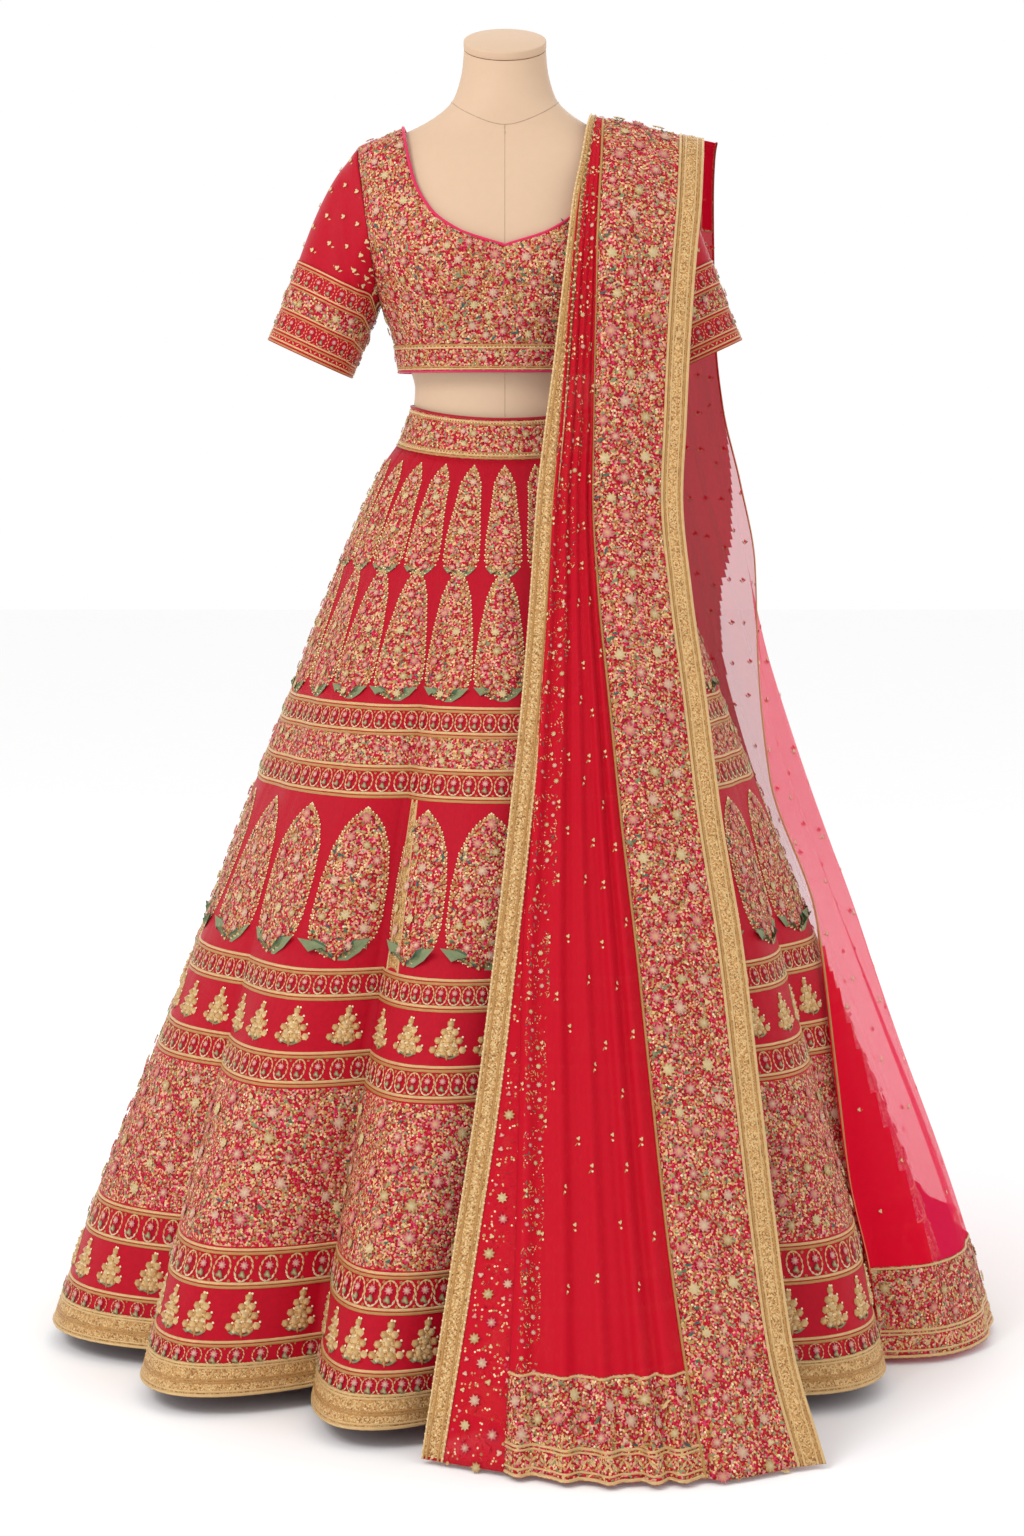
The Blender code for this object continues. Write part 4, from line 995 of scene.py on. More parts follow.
PETALS = (
    (Thread.ROSE, Thread.PINK, Thread.CREAM),
    (Thread.PALE_GOLD, Thread.GOLD, Thread.CREAM),
    (Thread.BLUSH, Thread.PINK, Thread.CREAM),
    (Thread.MUSTARD, Thread.PALE_GOLD, Thread.CREAM),
    (Thread.PALE_GOLD, Thread.BLUSH, Thread.CREAM),
    (Thread.PINK, Thread.BLUSH, Thread.CREAM),
    (Thread.CORAL, Thread.ROSE, Thread.PALE_GOLD),
)
LEAVES = (
    (Thread.SAGE, Thread.GREEN, Thread.SAGE),
    (Thread.GREEN, Thread.SAGE, Thread.SAGE),
    (Thread.TEAL, Thread.SAGE, Thread.SAGE),
    (Thread.GOLD, Thread.PALE_GOLD, Thread.GOLD),
    (Thread.GOLD, Thread.OLD_GOLD, Thread.GOLD),
    (Thread.PALE_GOLD, Thread.GOLD, Thread.GOLD),
)
BEADS = (
    (Thread.PALE_GOLD, Thread.CREAM, Thread.CREAM),
    (Thread.GOLD, Thread.PALE_GOLD, Thread.CREAM),
    (Thread.CREAM, Thread.CREAM, Thread.CREAM),
    (Thread.OLD_GOLD, Thread.GOLD, Thread.CREAM),
)


@dataclass
class Garden:
    """Fills a flat shape with flowers, leaves, knots and beads that don't lie on each other.

    Args:
        width: of the shape's box.
        height: of the shape's box.
        inside: whether a point, with a margin, is in the shape.
        seed: for the same pattern each run.
        wrap: whether the pattern repeats sideways.
    """

    width: float
    height: float
    inside: Callable[[float, float, float], bool]
    seed: int
    wrap: bool = False
    discs: Array = field(default_factory=lambda: np.zeros((8000, 3)))
    taken: int = 0
    stitches: list[Stitch] = field(default_factory=list)

    def __post_init__(self) -> None:
        """Starts the pattern's own random draws."""
        self.random = random.Random(self.seed)

    def room(self, x: float, y: float) -> float:
        """How far a point is from the nearest form's edge."""
        discs = self.discs[: self.taken]
        if not self.taken:
            return 1.0
        across = np.abs(discs[:, 0] - x)
        if self.wrap:
            across = np.minimum(across, self.width - across)
        return float((np.hypot(across, discs[:, 1] - y) - discs[:, 2]).min())

    def take(self, x: float, y: float, radius: float) -> None:
        """Marks a point as used."""
        if self.taken < len(self.discs):
            self.discs[self.taken] = (x, y, radius)
            self.taken += 1

    def grow(
        self, motif: Motif, largest: float, smallest: float, tries: int, colours: Sequence[tuple[Thread, Thread, Thread]], tight: float = 1.0
    ) -> "Garden":
        """Sets forms of one kind, each as large as its place allows.

        Args:
            motif: the form.
            largest: the largest size.
            smallest: the smallest size that is still set.
            tries: how many places are tried.
            colours: the sets of threads that it is drawn from.
            tight: below 1 where a form may tuck under its neighbours.
        """
        reach = REACH[motif] * tight
        for _ in range(tries):
            x = self.random.uniform(-0.5, 0.5) * self.width
            y = self.random.uniform(-0.5, 0.5) * self.height
            room = self.room(x, y)
            if room < smallest * reach:
                continue
            size = min(room / reach, largest * self.random.uniform(0.85, 1.0))
            if not self.inside(x, y, size * reach * 0.75):
                continue
            turn = self.random.uniform(0.0, 2.0 * math.pi)
            self.take(x, y, size * reach)
            if motif is Motif.LEAF:
                x, y = x + 0.85 * size * math.sin(turn), y - 0.85 * size * math.cos(turn)
            self.stitches.append(Stitch(motif, x, y, turn, size, self.random.choice(colours)))
        return self

    def wreath(self, size: float, each: int, colours: Sequence[tuple[Thread, Thread, Thread]]) -> "Garden":
        """Sets leaves that spread from under each flower."""
        flowers = [stitch for stitch in self.stitches if stitch.motif in (Motif.ROSE, Motif.BLOSSOM)]
        for flower in flowers:
            start = self.random.uniform(0.0, 2.0 * math.pi)
            for number in range(each):
                turn = start + 2.0 * math.pi * number / each + self.random.uniform(-0.25, 0.25)
                grown = size * self.random.uniform(0.8, 1.2)
                x = flower.x - 0.85 * flower.size * math.sin(turn)
                y = flower.y + 0.85 * flower.size * math.cos(turn)
                tip_x, tip_y = x - 1.0 * grown * math.sin(turn), y + 1.0 * grown * math.cos(turn)
                if self.inside(tip_x, tip_y, 0.001) and self.room(tip_x, tip_y) > 0.3 * grown:
                    self.take(tip_x, tip_y, 0.36 * grown)
                    self.stitches.append(Stitch(Motif.LEAF, x, y, turn, grown, self.random.choice(colours)))
        return self


def dense(width: float, height: float, inside: Callable[[float, float, float], bool], seed: int, flower: float, wrap: bool = False, rich: float = 1.0) -> list[Stitch]:
    """The dense floral filling of this set: roses, blossoms, leaves, knots, lozenges and beads.

    Args:
        width: of the filled box.
        height: of the filled box.
        inside: the shape's test.
        seed: of the pattern.
        flower: radius of its largest flowers.
        wrap: whether it repeats sideways.
        rich: how many small forms fill the rest.

    Returns:
        The stitches.
    """
    garden = Garden(width, height, inside, seed, wrap)
    tries = int(width * height / (flower * flower))
    garden.grow(Motif.ROSE, flower, flower * 0.72, int(6.0 * tries), PETALS, 1.1)
    garden.wreath(flower * 0.6, 5, LEAVES)
    garden.grow(Motif.BLOSSOM, flower * 0.72, flower * 0.38, int(12 * tries * rich), PETALS)
    garden.wreath(flower * 0.5, 2, LEAVES[3:])
    garden.grow(Motif.LEAF, flower * 0.54, flower * 0.28, int(14 * tries * rich), LEAVES[2:], 0.72)
    garden.grow(Motif.KNOT, flower * 0.22, flower * 0.12, int(20 * tries * rich), LEAVES[3:] + PETALS[:2])
    garden.grow(Motif.BEAD, flower * 0.13, flower * 0.09, int(12 * tries * rich), BEADS, 0.6)
    return garden.stitches


def endless(height: float) -> Callable[[float, float, float], bool]:
    """The test of a band that has no ends."""
    return lambda x, y, margin: abs(y) <= height / 2 - margin


@dataclass(frozen=True)
class Almond:
    """An upright almond motif about the origin.

    Args:
        half: its half width.
        height: its height.
        shape: rows of share of the height and share of the half width.
    """

    half: float
    height: float
    shape: tuple[Place, ...]

    def half_width(self, y: float) -> float:
        """Half width at a height from its middle."""
        share = y / self.height + 0.5
        return self.half * float(np.interp(share, *zip(*self.shape), left=0.0, right=0.0))

    def inside(self, x: float, y: float, margin: float) -> bool:
        """Whether a point is in the almond by a margin."""
        return abs(x) <= self.half_width(y) - margin

    def ground(self, work: Stitchery, face: Face, u: float, v: float, kind: Work = Work.GROUND) -> None:
        """The close stitched ground under its flowers."""
        shares = np.concatenate(((0.004, 0.03), np.linspace(0.08, 0.92, 11), (0.965, 0.996)))
        y = (shares - 0.5) * self.height
        halves = np.array([self.half_width(level) for level in y])
        across = halves[:, None] * np.array((-0.97, -0.8, -0.3, 0.3, 0.8, 0.97))[None]
        up = np.broadcast_to(y[:, None], across.shape)
        uu, vv = face.shift(u + 0.0 * across, v + 0.0 * across, across, up)
        work.patch(face, uu, vv, kind, 0.0009)

    def rim(self, pitch: float) -> list[Stitch]:
        """Gold knots and cream beads round its edge."""
        made = []
        steps = 300
        for side in (1.0, -1.0):
            last = (0.0, -self.height / 2)
            for step in range(1, steps + 1):
                y = (step / steps - 0.5) * self.height
                x = side * self.half_width(y)
                reach = math.hypot(x - last[0], y - last[1])
                if reach < pitch:
                    continue
                along = ((x - last[0]) / reach, (y - last[1]) / reach)
                lean = (0.75 * along[0] + 0.6 * side * along[1], 0.75 * along[1] - 0.6 * side * along[0])
                turn = math.atan2(-lean[0], lean[1])
                tones = LEAVES[3 + len(made) % 3]
                made.append(Stitch(Motif.KNOT, x - 0.1 * pitch * lean[0], y - 0.1 * pitch * lean[1], turn, pitch * 0.40, tones))
                made.append(Stitch(Motif.BEAD, x + 0.42 * pitch * lean[0], y + 0.42 * pitch * lean[1], 0.0, pitch * 0.19, BEADS[2]))
                last = (x, y)
        return made

    def crown(self, size: float) -> list[Stitch]:
        """The knots and the bead at its tip."""
        top = self.height / 2
        made = [Stitch(Motif.KNOT, 0.0, top, 0.0, size * 0.32, LEAVES[5]), Stitch(Motif.BEAD, 0.0, top + 0.35 * size, 0.0, size * 0.14, BEADS[2])]
        return made + [Stitch(Motif.KNOT, side * 0.35 * size, top - 0.35 * size, 0.0, size * 0.28, LEAVES[3]) for side in (1.0, -1.0)]

    def foot(self) -> list[Stitch]:
        """The green leaves that cup its foot."""
        made = []
        low = -self.height / 2 - 0.08 * self.half
        for side in (1.0, -1.0):
            made.append(Stitch(Motif.LEAF, 0.0, low - 0.002, -side * 1.02, self.half * 0.76, LEAVES[0]))
            made.append(Stitch(Motif.LEAF, side * 0.05 * self.half, low, -side * 0.80, self.half * 0.52, LEAVES[1]))
        made.append(Stitch(Motif.BLOSSOM, 0.0, low, 0.0, self.half * 0.13, PETALS[1]))
        return made


CONE_SHAPE = ((0.0, 0.9), (0.08, 1.0), (0.5, 0.62), (0.8, 0.30), (1.0, 0.06))
COLUMN_SHAPE = ((0.0, 0.3), (0.05, 0.8), (0.12, 1.0), (0.30, 1.0), (0.62, 0.80), (0.84, 0.68), (0.93, 0.40), (1.0, 0.06))
ALMOND_SHAPE = ((0.0, 0.20), (0.05, 0.68), (0.13, 0.96), (0.26, 1.0), (0.55, 0.86), (0.80, 0.66), (0.92, 0.42), (1.0, 0.08))
GREAT_SHAPE = ((0.0, 0.20), (0.05, 0.62), (0.13, 0.90), (0.25, 1.0), (0.52, 1.0), (0.74, 0.88), (0.88, 0.62), (0.95, 0.36), (1.0, 0.08))


def arch(width: float, height: float) -> list[Stitch]:
    """One bud of a band: a pink flower over a sage calyx, in an upright oval of gold stitches."""
    across, tall = 0.41 * width, 0.45 * height
    made = [
        Stitch(Motif.ROSE, 0.0, 0.12 * height, 0.2, across * 0.98, (Thread.PINK, Thread.ROSE, Thread.CREAM)),
        Stitch(Motif.BLOSSOM, 0.0, -0.21 * height, 0.3, across * 0.95, (Thread.SAGE, Thread.GREEN, Thread.PALE_GOLD)),
        Stitch(Motif.LEAF, 0.0, 0.26 * height, 0.0, height * 0.10, LEAVES[5]),
    ]
    steps = 13
    for step in range(steps):
        turn = 2.0 * math.pi * (step + 0.5) / steps
        x, y = across * math.cos(turn), tall * math.sin(turn)
        lean = math.atan2(across * math.sin(turn), tall * math.cos(turn))
        tone = Thread.PALE_GOLD if math.sin(turn) > -0.4 else Thread.CREAM
        made.append(Stitch(Motif.LOZENGE, x, y, lean, height * 0.125, (tone,) * 3))
    for level in (-0.44, 0.40):
        made.append(Stitch(Motif.KNOT, 0.5 * width, level * height, 0.0, height * 0.06, LEAVES[4]))
    return made


def tree(width: float, height: float) -> list[Stitch]:
    """A small gold flowering tree that stands on a band."""
    gold = (Thread.GOLD, Thread.PALE_GOLD, Thread.GOLD)
    pale = (Thread.PALE_GOLD, Thread.CREAM, Thread.GOLD)
    made = [Stitch(Motif.LOZENGE, 0.0, -0.38 * height, 0.0, height * 0.12, gold)]
    rows = ((-0.25, 0.40, 4), (-0.03, 0.29, 3), (0.17, 0.15, 2), (0.34, 0.0, 1))
    for level, spread, count in rows:
        for number in range(count):
            share = 0.0 if count == 1 else 2.0 * number / (count - 1) - 1.0
            x = share * spread * width
            y = (level + 0.03 * (1.0 - abs(share))) * height
            heart = Thread.PINK if (number + count) % 2 else Thread.CREAM
            made.append(Stitch(Motif.KNOT, x, y, 0.4 * share, height * 0.088, (gold[number % 2], pale[0], heart)))
            made.append(Stitch(Motif.KNOT, x * 0.55, y - 0.10 * height, 0.0, height * 0.062, gold if number % 2 else pale))
            made.append(Stitch(Motif.BEAD, x + 0.08 * width, y + 0.08 * height, 0.0, height * 0.028, BEADS[2]))
        made.append(Stitch(Motif.BEAD, 0.0, (level + 0.115) * height, 0.0, height * 0.035, BEADS[0]))
    for side in (1.0, -1.0):
        made.append(Stitch(Motif.LEAF, 0.0, -0.44 * height, -side * 1.25, height * 0.17, LEAVES[0]))
    return made


def chain(length: float, width: float, pitch: float) -> list[Stitch]:
    """A gold border's repeat: lozenges crossed in zigzag with beads between."""
    made = []
    count = max(int(round(length / pitch)), 1)
    for number in range(count):
        x = (number + 0.5) / count * length - length / 2
        lean = 0.7 if number % 2 else -0.7
        made.append(Stitch(Motif.LOZENGE, x, 0.0, lean, width * 0.40, (Thread.PALE_GOLD,) * 3))
        made.append(Stitch(Motif.BEAD, x + pitch / 2, (0.26 if number % 2 else -0.26) * width, 0.0, width * 0.085, BEADS[number % 3]))
        made.append(Stitch(Motif.KNOT, x + pitch / 2, (-0.24 if number % 2 else 0.24) * width, 0.0, width * 0.11, (Thread.GOLD, Thread.PALE_GOLD, Thread.GOLD)))
    return made


@dataclass
class DressForm:
    """The limbless form: torso with its neck, neck cap, pole and base."""

    body: Body = field(default_factory=lambda: Body(FORM_ROWS))
    columns: int = 80
    rows: int = 96
    bottom: float = 0.820
    neck_top: float = 1.544
    tilt: float = math.radians(22.0)
    tilt_start: float = 1.480
    neck_seam: float = 1.4795
    seam_dip: float = 0.031

    def point(self, u: float, v: float) -> Array:
        """A point of the torso, u round from the back and v up."""
        height = mix(self.bottom, self.neck_top, v)
        angle = 360.0 * u - 180.0
        point = self.body.point(angle, height)
        share = (height - self.tilt_start) / (self.neck_top - self.tilt_start)
        point[2] += point[1] * math.tan(self.tilt) * ease(share)
        return point

    def build(self) -> None:
        """Builds the smooth torso and gives the hard pieces their finish."""
        face = face_from("torso", self.point, self.columns, self.rows, True)
        shape = bmesh.new()
        face.mesh(shape)
        bmesh.ops.remove_doubles(shape, verts=shape.verts, dist=0.00002)
        ends = [edge for edge in shape.edges if edge.is_boundary]
        bmesh.ops.holes_fill(shape, edges=ends)
        mesh = bpy.data.meshes.new("form_torso_skin")
        shape.to_mesh(mesh)
        shape.free()
        mesh.materials.append(FORM_SKIN.material())
        piece = add("form_torso_skin", mesh)
        mesh.set_sharp_from_angle(angle=math.radians(50.0))
        wear(piece, ["form_torso"])
        self.cap()
        self.seams(face)
        for node in ("form_pole", "form_base"):
            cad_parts[node].data.materials.clear()
            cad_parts[node].data.materials.append(FORM_METAL.material())

    def seams(self, face: Face) -> None:
        """The fine seam round the neck's base, and the one down the middle in front and behind."""
        work = Stitchery()
        u = np.linspace(0.0, 1.0, 97)
        turn = np.radians(360.0 * u - 180.0)
        height = self.neck_seam - self.seam_dip * np.abs(np.cos(turn)) ** 2.0
        tall = self.neck_top - self.bottom
        work.cord(face, u, (height - self.bottom) / tall, 0.0004, Thread.BUFF, closed=True)
        for middle in (0.0, 0.5):
            v = (np.linspace(0.840, self.neck_seam - self.seam_dip, 90) - self.bottom) / tall
            work.cord(face, np.full(len(v), middle), v, 0.0003, Thread.BUFF)
        work.piece("form_seams", "form")

    def cap(self) -> None:
        """The rounded disc on the neck, with a fine gap under it."""
        shape = bmesh.new()
        bmesh.ops.create_cone(shape, cap_ends=True, segments=72, radius1=0.0500, radius2=0.0500, depth=0.0105)
        rims = [edge for edge in shape.edges if len({round(v.co.z, 4) for v in edge.verts}) == 1]
        bmesh.ops.bevel(shape, geom=rims, offset=0.0018, offset_type="OFFSET", segments=3, profile=0.5, affect="EDGES", material=-1)
        lean = self.tilt
        for vert in shape.verts:
            x, y, z = vert.co
            z += 0.0105 / 2 + 0.0005
            height = self.neck_top + z * math.cos(lean) + y * math.tan(lean)
            vert.co = (x, y - z * math.sin(lean), height)
        bmesh.ops.recalc_face_normals(shape, faces=shape.faces)
        mesh = bpy.data.meshes.new("form_neck_disc")
        shape.to_mesh(mesh)
        shape.free()
        mesh.materials.append(FORM_SKIN.material())
        piece = add("form_neck_disc", mesh)
        mesh.set_sharp_from_angle(angle=math.radians(35.0))
        wear(piece, ["form_neck_cap"])


@dataclass
class Choli:
    """The blouse: front, two backs, sleeves, piping and bands."""

    body: Body = field(default_factory=lambda: Body(CHOLI_ROWS))
    hem: float = 1.153
    armpit: Place = (0.1510, 1.235)
    shoulder: Place = (0.1780, 1.424)
    cloth: float = 0.0016
    seam: float = 0.0004
    band_top: float = 1.187
    cuff_centre: tuple[float, float, float] = (0.237, 0.0, 1.170)
    cuff_out: tuple[float, float, float] = (0.909, 0.0, 0.418)
    cuff_half_width: float = 0.055
    cuff_half_depth: float = 0.052
    fullness: float = 0.012
    border_share: float = 0.46
    border_length: float = 0.102
    least_start: float = 0.12
    flower: float = 0.0115

    def armhole_width(self, height: float) -> float:
        """Distance of the armhole seam from the middle plane."""
        share = (height - self.armpit[1]) / (self.shoulder[1] - self.armpit[1])
        return mix(self.armpit[0], self.shoulder[0], share)

    def corner(self, rows: Sequence[Place], neck: Sequence[Place], behind: bool, row: float) -> tuple[Place, Place]:
        """The inner and outer end of a panel's row, each as an angle and a height."""
        low = min(int(row), len(rows) - 2)
        inner_height = mix(rows[low][0], rows[low + 1][0], row - low)
        outer_height = mix(rows[low][1], rows[low + 1][1], row - low)
        middle, sign = (180.0, -1.0) if behind else (0.0, 1.0)
        if inner_height <= neck[0][0]:
            inner = middle + (sign * math.degrees(self.seam / 2.0 / 0.1) if behind else 0.0)
        else:
            inner = self.body.angle_at_width(self.neck_width(neck, inner_height), inner_height, behind)
        outer = 90.0 - sign * math.degrees(self.seam / 2.0 / 0.15)
        if outer_height > self.armpit[1] and row < len(rows) - 1:
            outer = self.body.angle_at_width(self.armhole_width(outer_height), outer_height, behind)
        if row >= len(rows) - 1:
            inner = outer
        return (inner, inner_height), (outer, outer_height)

    def neck_width(self, neck: Sequence[Place], height: float) -> float:
        """Half width of the neckline at a height."""
        return float(Curve(*zip(*neck))(height))

    def crease(self, angle: float, height: float) -> float:
        """Soft creases of the worn cloth, outward in metres."""
        total = 0.0
        for at, level, lean, depth, wide in (
            (74.0, 1.215, 0.0009, 0.0011, 6.0),
            (62.0, 1.200, 0.0010, 0.0008, 5.0),
            (-74.0, 1.215, -0.0009, 0.0012, 6.0),
            (-60.0, 1.196, -0.0010, 0.0008, 5.0),
            (118.0, 1.230, 0.0012, 0.0014, 7.0),
            (-121.0, 1.240, -0.0012, 0.0013, 7.0),
            (140.0, 1.205, 0.0008, 0.0009, 8.0),
            (-146.0, 1.200, -0.0008, 0.0010, 8.0),
        ):
            slant = (angle - at + (height - level) / lean * 0.02) / wide
            total += depth * math.exp(-slant * slant - ((height - level) / 0.035) ** 2)
        return total

    def panel(self, name: str, rows: Sequence[Place], neck: Sequence[Place], behind: bool, side: float, low: float, high: float) -> Face:
        """One half panel between two of its rows, as a face."""
        columns, lines = 30, int(round((high - low) * 4))
        grid = []
        for line in range(lines + 1):
            inner, outer = self.corner(rows, neck, behind, mix(low, high, line / lines))
            points = []
            for column in range(columns + 1):
                share = column / columns
                angle, height = mix(inner[0], outer[0], share), mix(inner[1], outer[1], share)
                point = self.body.point(side * angle, height)
                point[:2] *= 1.0 + self.crease(side * angle, height) / np.linalg.norm(point[:2])
                points.append(point)
            grid.append(points)
        made = np.array(grid)
        if (side > 0.0) == behind:
            made = made[:, ::-1]
        return Face(name, made)

    def build(self) -> None:
        """Builds every piece of the blouse."""
        last = len(FRONT_PANEL_ROWS) - 1
        fronts = [self.panel("front", FRONT_PANEL_ROWS, FRONT_NECK, False, side, 0, last) for side in (1.0, -1.0)]
        front = cloth_piece("choli_front_cloth", fronts, STITCHED, self.cloth, ["choli_front"], LINING)
        declare(front, fronts)
        for name, side in (("left", 1.0), ("right", -1.0)):
            back = self.panel("back", BACK_PANEL_ROWS, BACK_NECK, True, side, 0, len(BACK_PANEL_ROWS) - 1)
            made = cloth_piece("choli_back_cloth_" + name, [back], STITCHED, self.cloth, ["choli_back_" + name], LINING)
            declare(made, [back])
        self.embroider()
        self.neckline()
        for name, side in (("left", 1.0), ("right", -1.0)):
            self.sleeve(name, side)

    def whole(self) -> Face:
        """The whole outer face round the body, for laying work on."""
        return face_from("choli", lambda u, v: self.body.point(360.0 * u - 180.0, mix(self.hem, 1.448, v)), 240, 110, True)

    def on_cloth(self, point: Array, margin: float) -> bool:
        """Whether a point of the whole face is on a panel, clear of its edges."""
        width, height = abs(point[0]), point[2]
        neck = FRONT_NECK if point[1] < 0.0 else BACK_NECK
        if height > neck[0][0] - margin and width < self.neck_width(neck, min(height + margin * 0.6, 1.448)) + margin:
            return False
        return height < self.armpit[1] or width < self.armhole_width(height) - margin

    def embroider(self) -> None:
        """The all-over floral work and the band at the hem."""
        face = self.whole()
        work = Stitchery()
        top = 1.446
        width, height = 2.0 * math.pi * 0.135, top - self.band_top
        pattern = dense(width, height, endless(height), 11, self.flower, True, 1.25)
        u0, v0 = 0.5, (self.band_top + height / 2 - self.hem) / (1.448 - self.hem)
        x = np.array([stitch.x for stitch in pattern])
        y = np.array([stitch.y for stitch in pattern])
        u, v = u0 + x / width, v0 + y / (1.448 - self.hem)
        places = face.frames(u, v)[0]
        chosen = [stitch for stitch, place in zip(pattern, places) if self.on_cloth(place, 0.0045 if stitch.motif in (Motif.ROSE, Motif.BLOSSOM) else 0.002)]
        for motif in Motif:
            some = [stitch for stitch in chosen if stitch.motif is motif]
            if some:
                across = np.array([stitch.x / width + u0 for stitch in some])
                up = np.array([v0 + stitch.y / (1.448 - self.hem) for stitch in some])
                turn, size = np.array([stitch.turn for stitch in some]), np.array([stitch.size for stitch in some])
                tones = np.array([[tone.value for tone in stitch.tones] for stitch in some])
                work.scatter(face, motif, across, up, turn, size, tones, 0.0002)
        work.piece("choli_floral_work", "choli_cloth")
        self.hem_band(face, work)

    def hem_band(self, face: Face, work: Stitchery) -> None:
        """The band round the hem between gold cords, on its own strip."""
        tall = self.band_top - self.hem
        scale = 1.448 - self.hem
        strip = face.part("hem_strip", 0.0, tall / scale, 5).raised("hem_strip", 0.0014)
        band = cloth_piece("choli_hem_strip", [strip], STITCHED, 0.0008, ["choli_hem_band"])
        declare(band, [strip])
        tile = dense(0.10, tall * 0.62, endless(tall * 0.62), 12, 0.0075, True, 1.2)
        count = 8
        u = (np.arange(count) + 0.5) / count
        work.lay(strip, tile, u, np.full(count, 0.52))
        around = np.linspace(0.0, 1.0, 241)
        for level, radius, tone in ((0.04, 0.0016, Thread.PINK), (0.13, 0.0011, Thread.PALE_GOLD), (0.20, 0.0009, Thread.GOLD), (0.86, 0.0011, Thread.PALE_GOLD), (0.95, 0.0011, Thread.GOLD)):
            work.cord(strip, around, np.full(241, level), radius, tone, closed=True)
        beads = np.arange(150) / 150
        tones = np.tile(np.array([tone.value for tone in BEADS[0]]), (150, 1, 1))
        work.scatter(strip, Motif.BEAD, beads, np.full(150, 0.905), np.zeros(150), np.full(150, 0.0011), tones)
        work.piece("choli_hem_work", "gold_border")

    def neckline(self) -> None:
        """The rolled piping along the neckline, and the gold line beside it."""
        places = []
        last = len(FRONT_PANEL_ROWS) - 1
        joined = [number for number, row in enumerate(FRONT_PANEL_ROWS) if row[0] == FRONT_NECK[0][0]][0]
        behind = [number for number, row in enumerate(BACK_PANEL_ROWS) if row[0] == BACK_NECK[0][0]][0]
        for step in range(61):
            places.append(self.corner(FRONT_PANEL_ROWS, FRONT_NECK, False, mix(joined + 1e-6, last - 1e-3, (step / 60) ** 1.3))[0])
        end = len(BACK_PANEL_ROWS) - 1
        for step in range(61):
            places.append(self.corner(BACK_PANEL_ROWS, BACK_NECK, True, mix(behind + 1e-6, end - 1e-3, (1 - step / 60) ** 1.3))[0])
        both = places + [(-angle, height) for angle, height in places[-2:0:-1]]
        points = np.array([self.body.point(*place) for place in both])
        shape = bpy.data.curves.new("piping", "CURVE")
        shape.dimensions = "3D"
        shape.bevel_depth = 0.0019
        shape.bevel_resolution = 3
        spline = shape.splines.new("POLY")
        kept = self.clear_of_panels(points)
        spline.points.add(len(kept) - 1)
        for point, place in zip(spline.points, kept):
            point.co = (*place, 1.0)
        spline.use_cyclic_u = True
        maker = bpy.data.objects.new("piping", shape)
        bpy.context.scene.collection.objects.link(maker)
        mesh = bpy.data.meshes.new_from_object(maker)
        bpy.data.objects.remove(maker)
        mesh.name = "choli_piping"
        mesh.materials.clear()
        mesh.materials.append(PIPING.material())
        wear(add("choli_piping", mesh), ["choli_neck_piping"])
        self.neck_line(kept)

    def clear_of_panels(self, points: Array) -> Array:
        """Moves the neckline's path off the panels' edge, towards the opening."""
        along = np.roll(points, -2, axis=0) - np.roll(points, 2, axis=0)
        out = points * np.array((1.0, 1.0, 0.0)) + np.array((0.0, 0.0, 0.09))
        out /= np.linalg.norm(out, axis=1, keepdims=True)
        side = np.cross(out, along)
        side /= np.linalg.norm(side, axis=1, keepdims=True)
        return points + side * 0.0014 - out * 0.0008

    def neck_line(self, path: Array) -> None:
        """A row of gold knots just below the piping."""
        face = self.whole()
        steps = np.linalg.norm(np.diff(path, axis=0, append=path[:1]), axis=1)
        reach = np.concatenate(((0.0,), np.cumsum(steps)))
        count = int(reach[-1] / 0.0031)
        work = Stitchery()
        for level, size, motif in ((0.0042, 0.0013, Motif.KNOT), (0.0068, 0.0009, Motif.BEAD)):
            u, v = [], []
            for number in range(count):
                at = np.searchsorted(reach, number / count * reach[-1], side="right") - 1
                point = path[at % len(path)]
                angle = math.degrees(math.atan2(point[0], -point[1]))
                out = point * np.array((1.0, 1.0, 0.0))
                along = path[(at + 1) % len(path)] - path[at - 1]
                side = np.cross(out / np.linalg.norm(out), along / np.linalg.norm(along))
                moved = point - side * level
                angle = math.degrees(math.atan2(moved[0], -moved[1]))
                u.append(angle / 360.0 + 0.5)
                v.append((moved[2] - self.hem) / (1.448 - self.hem))
            tones = np.tile(np.array([tone.value for tone in (Thread.PALE_GOLD, Thread.GOLD, Thread.GOLD)]), (count, 1, 1))
            work.scatter(face, motif, np.array(u), np.array(v), np.zeros(count), np.full(count, size), tones, 0.0004)
        work.piece("choli_neck_line", "gold_border")

    def armhole_point(self, turn: float) -> Array:
        """A point of the armhole seam, from its top (0) round by the front (90)."""
        middle, reach = (self.armpit[1] + self.shoulder[1]) / 2.0, (self.shoulder[1] - self.armpit[1]) / 2.0
        height = middle + reach * math.cos(math.radians(turn))
        behind = math.sin(math.radians(turn)) < 0.0
        angle = self.body.angle_at_width(self.armhole_width(height), height, behind)
        point = self.body.point(angle, height)
        point[0] = self.armhole_width(height)
        return point

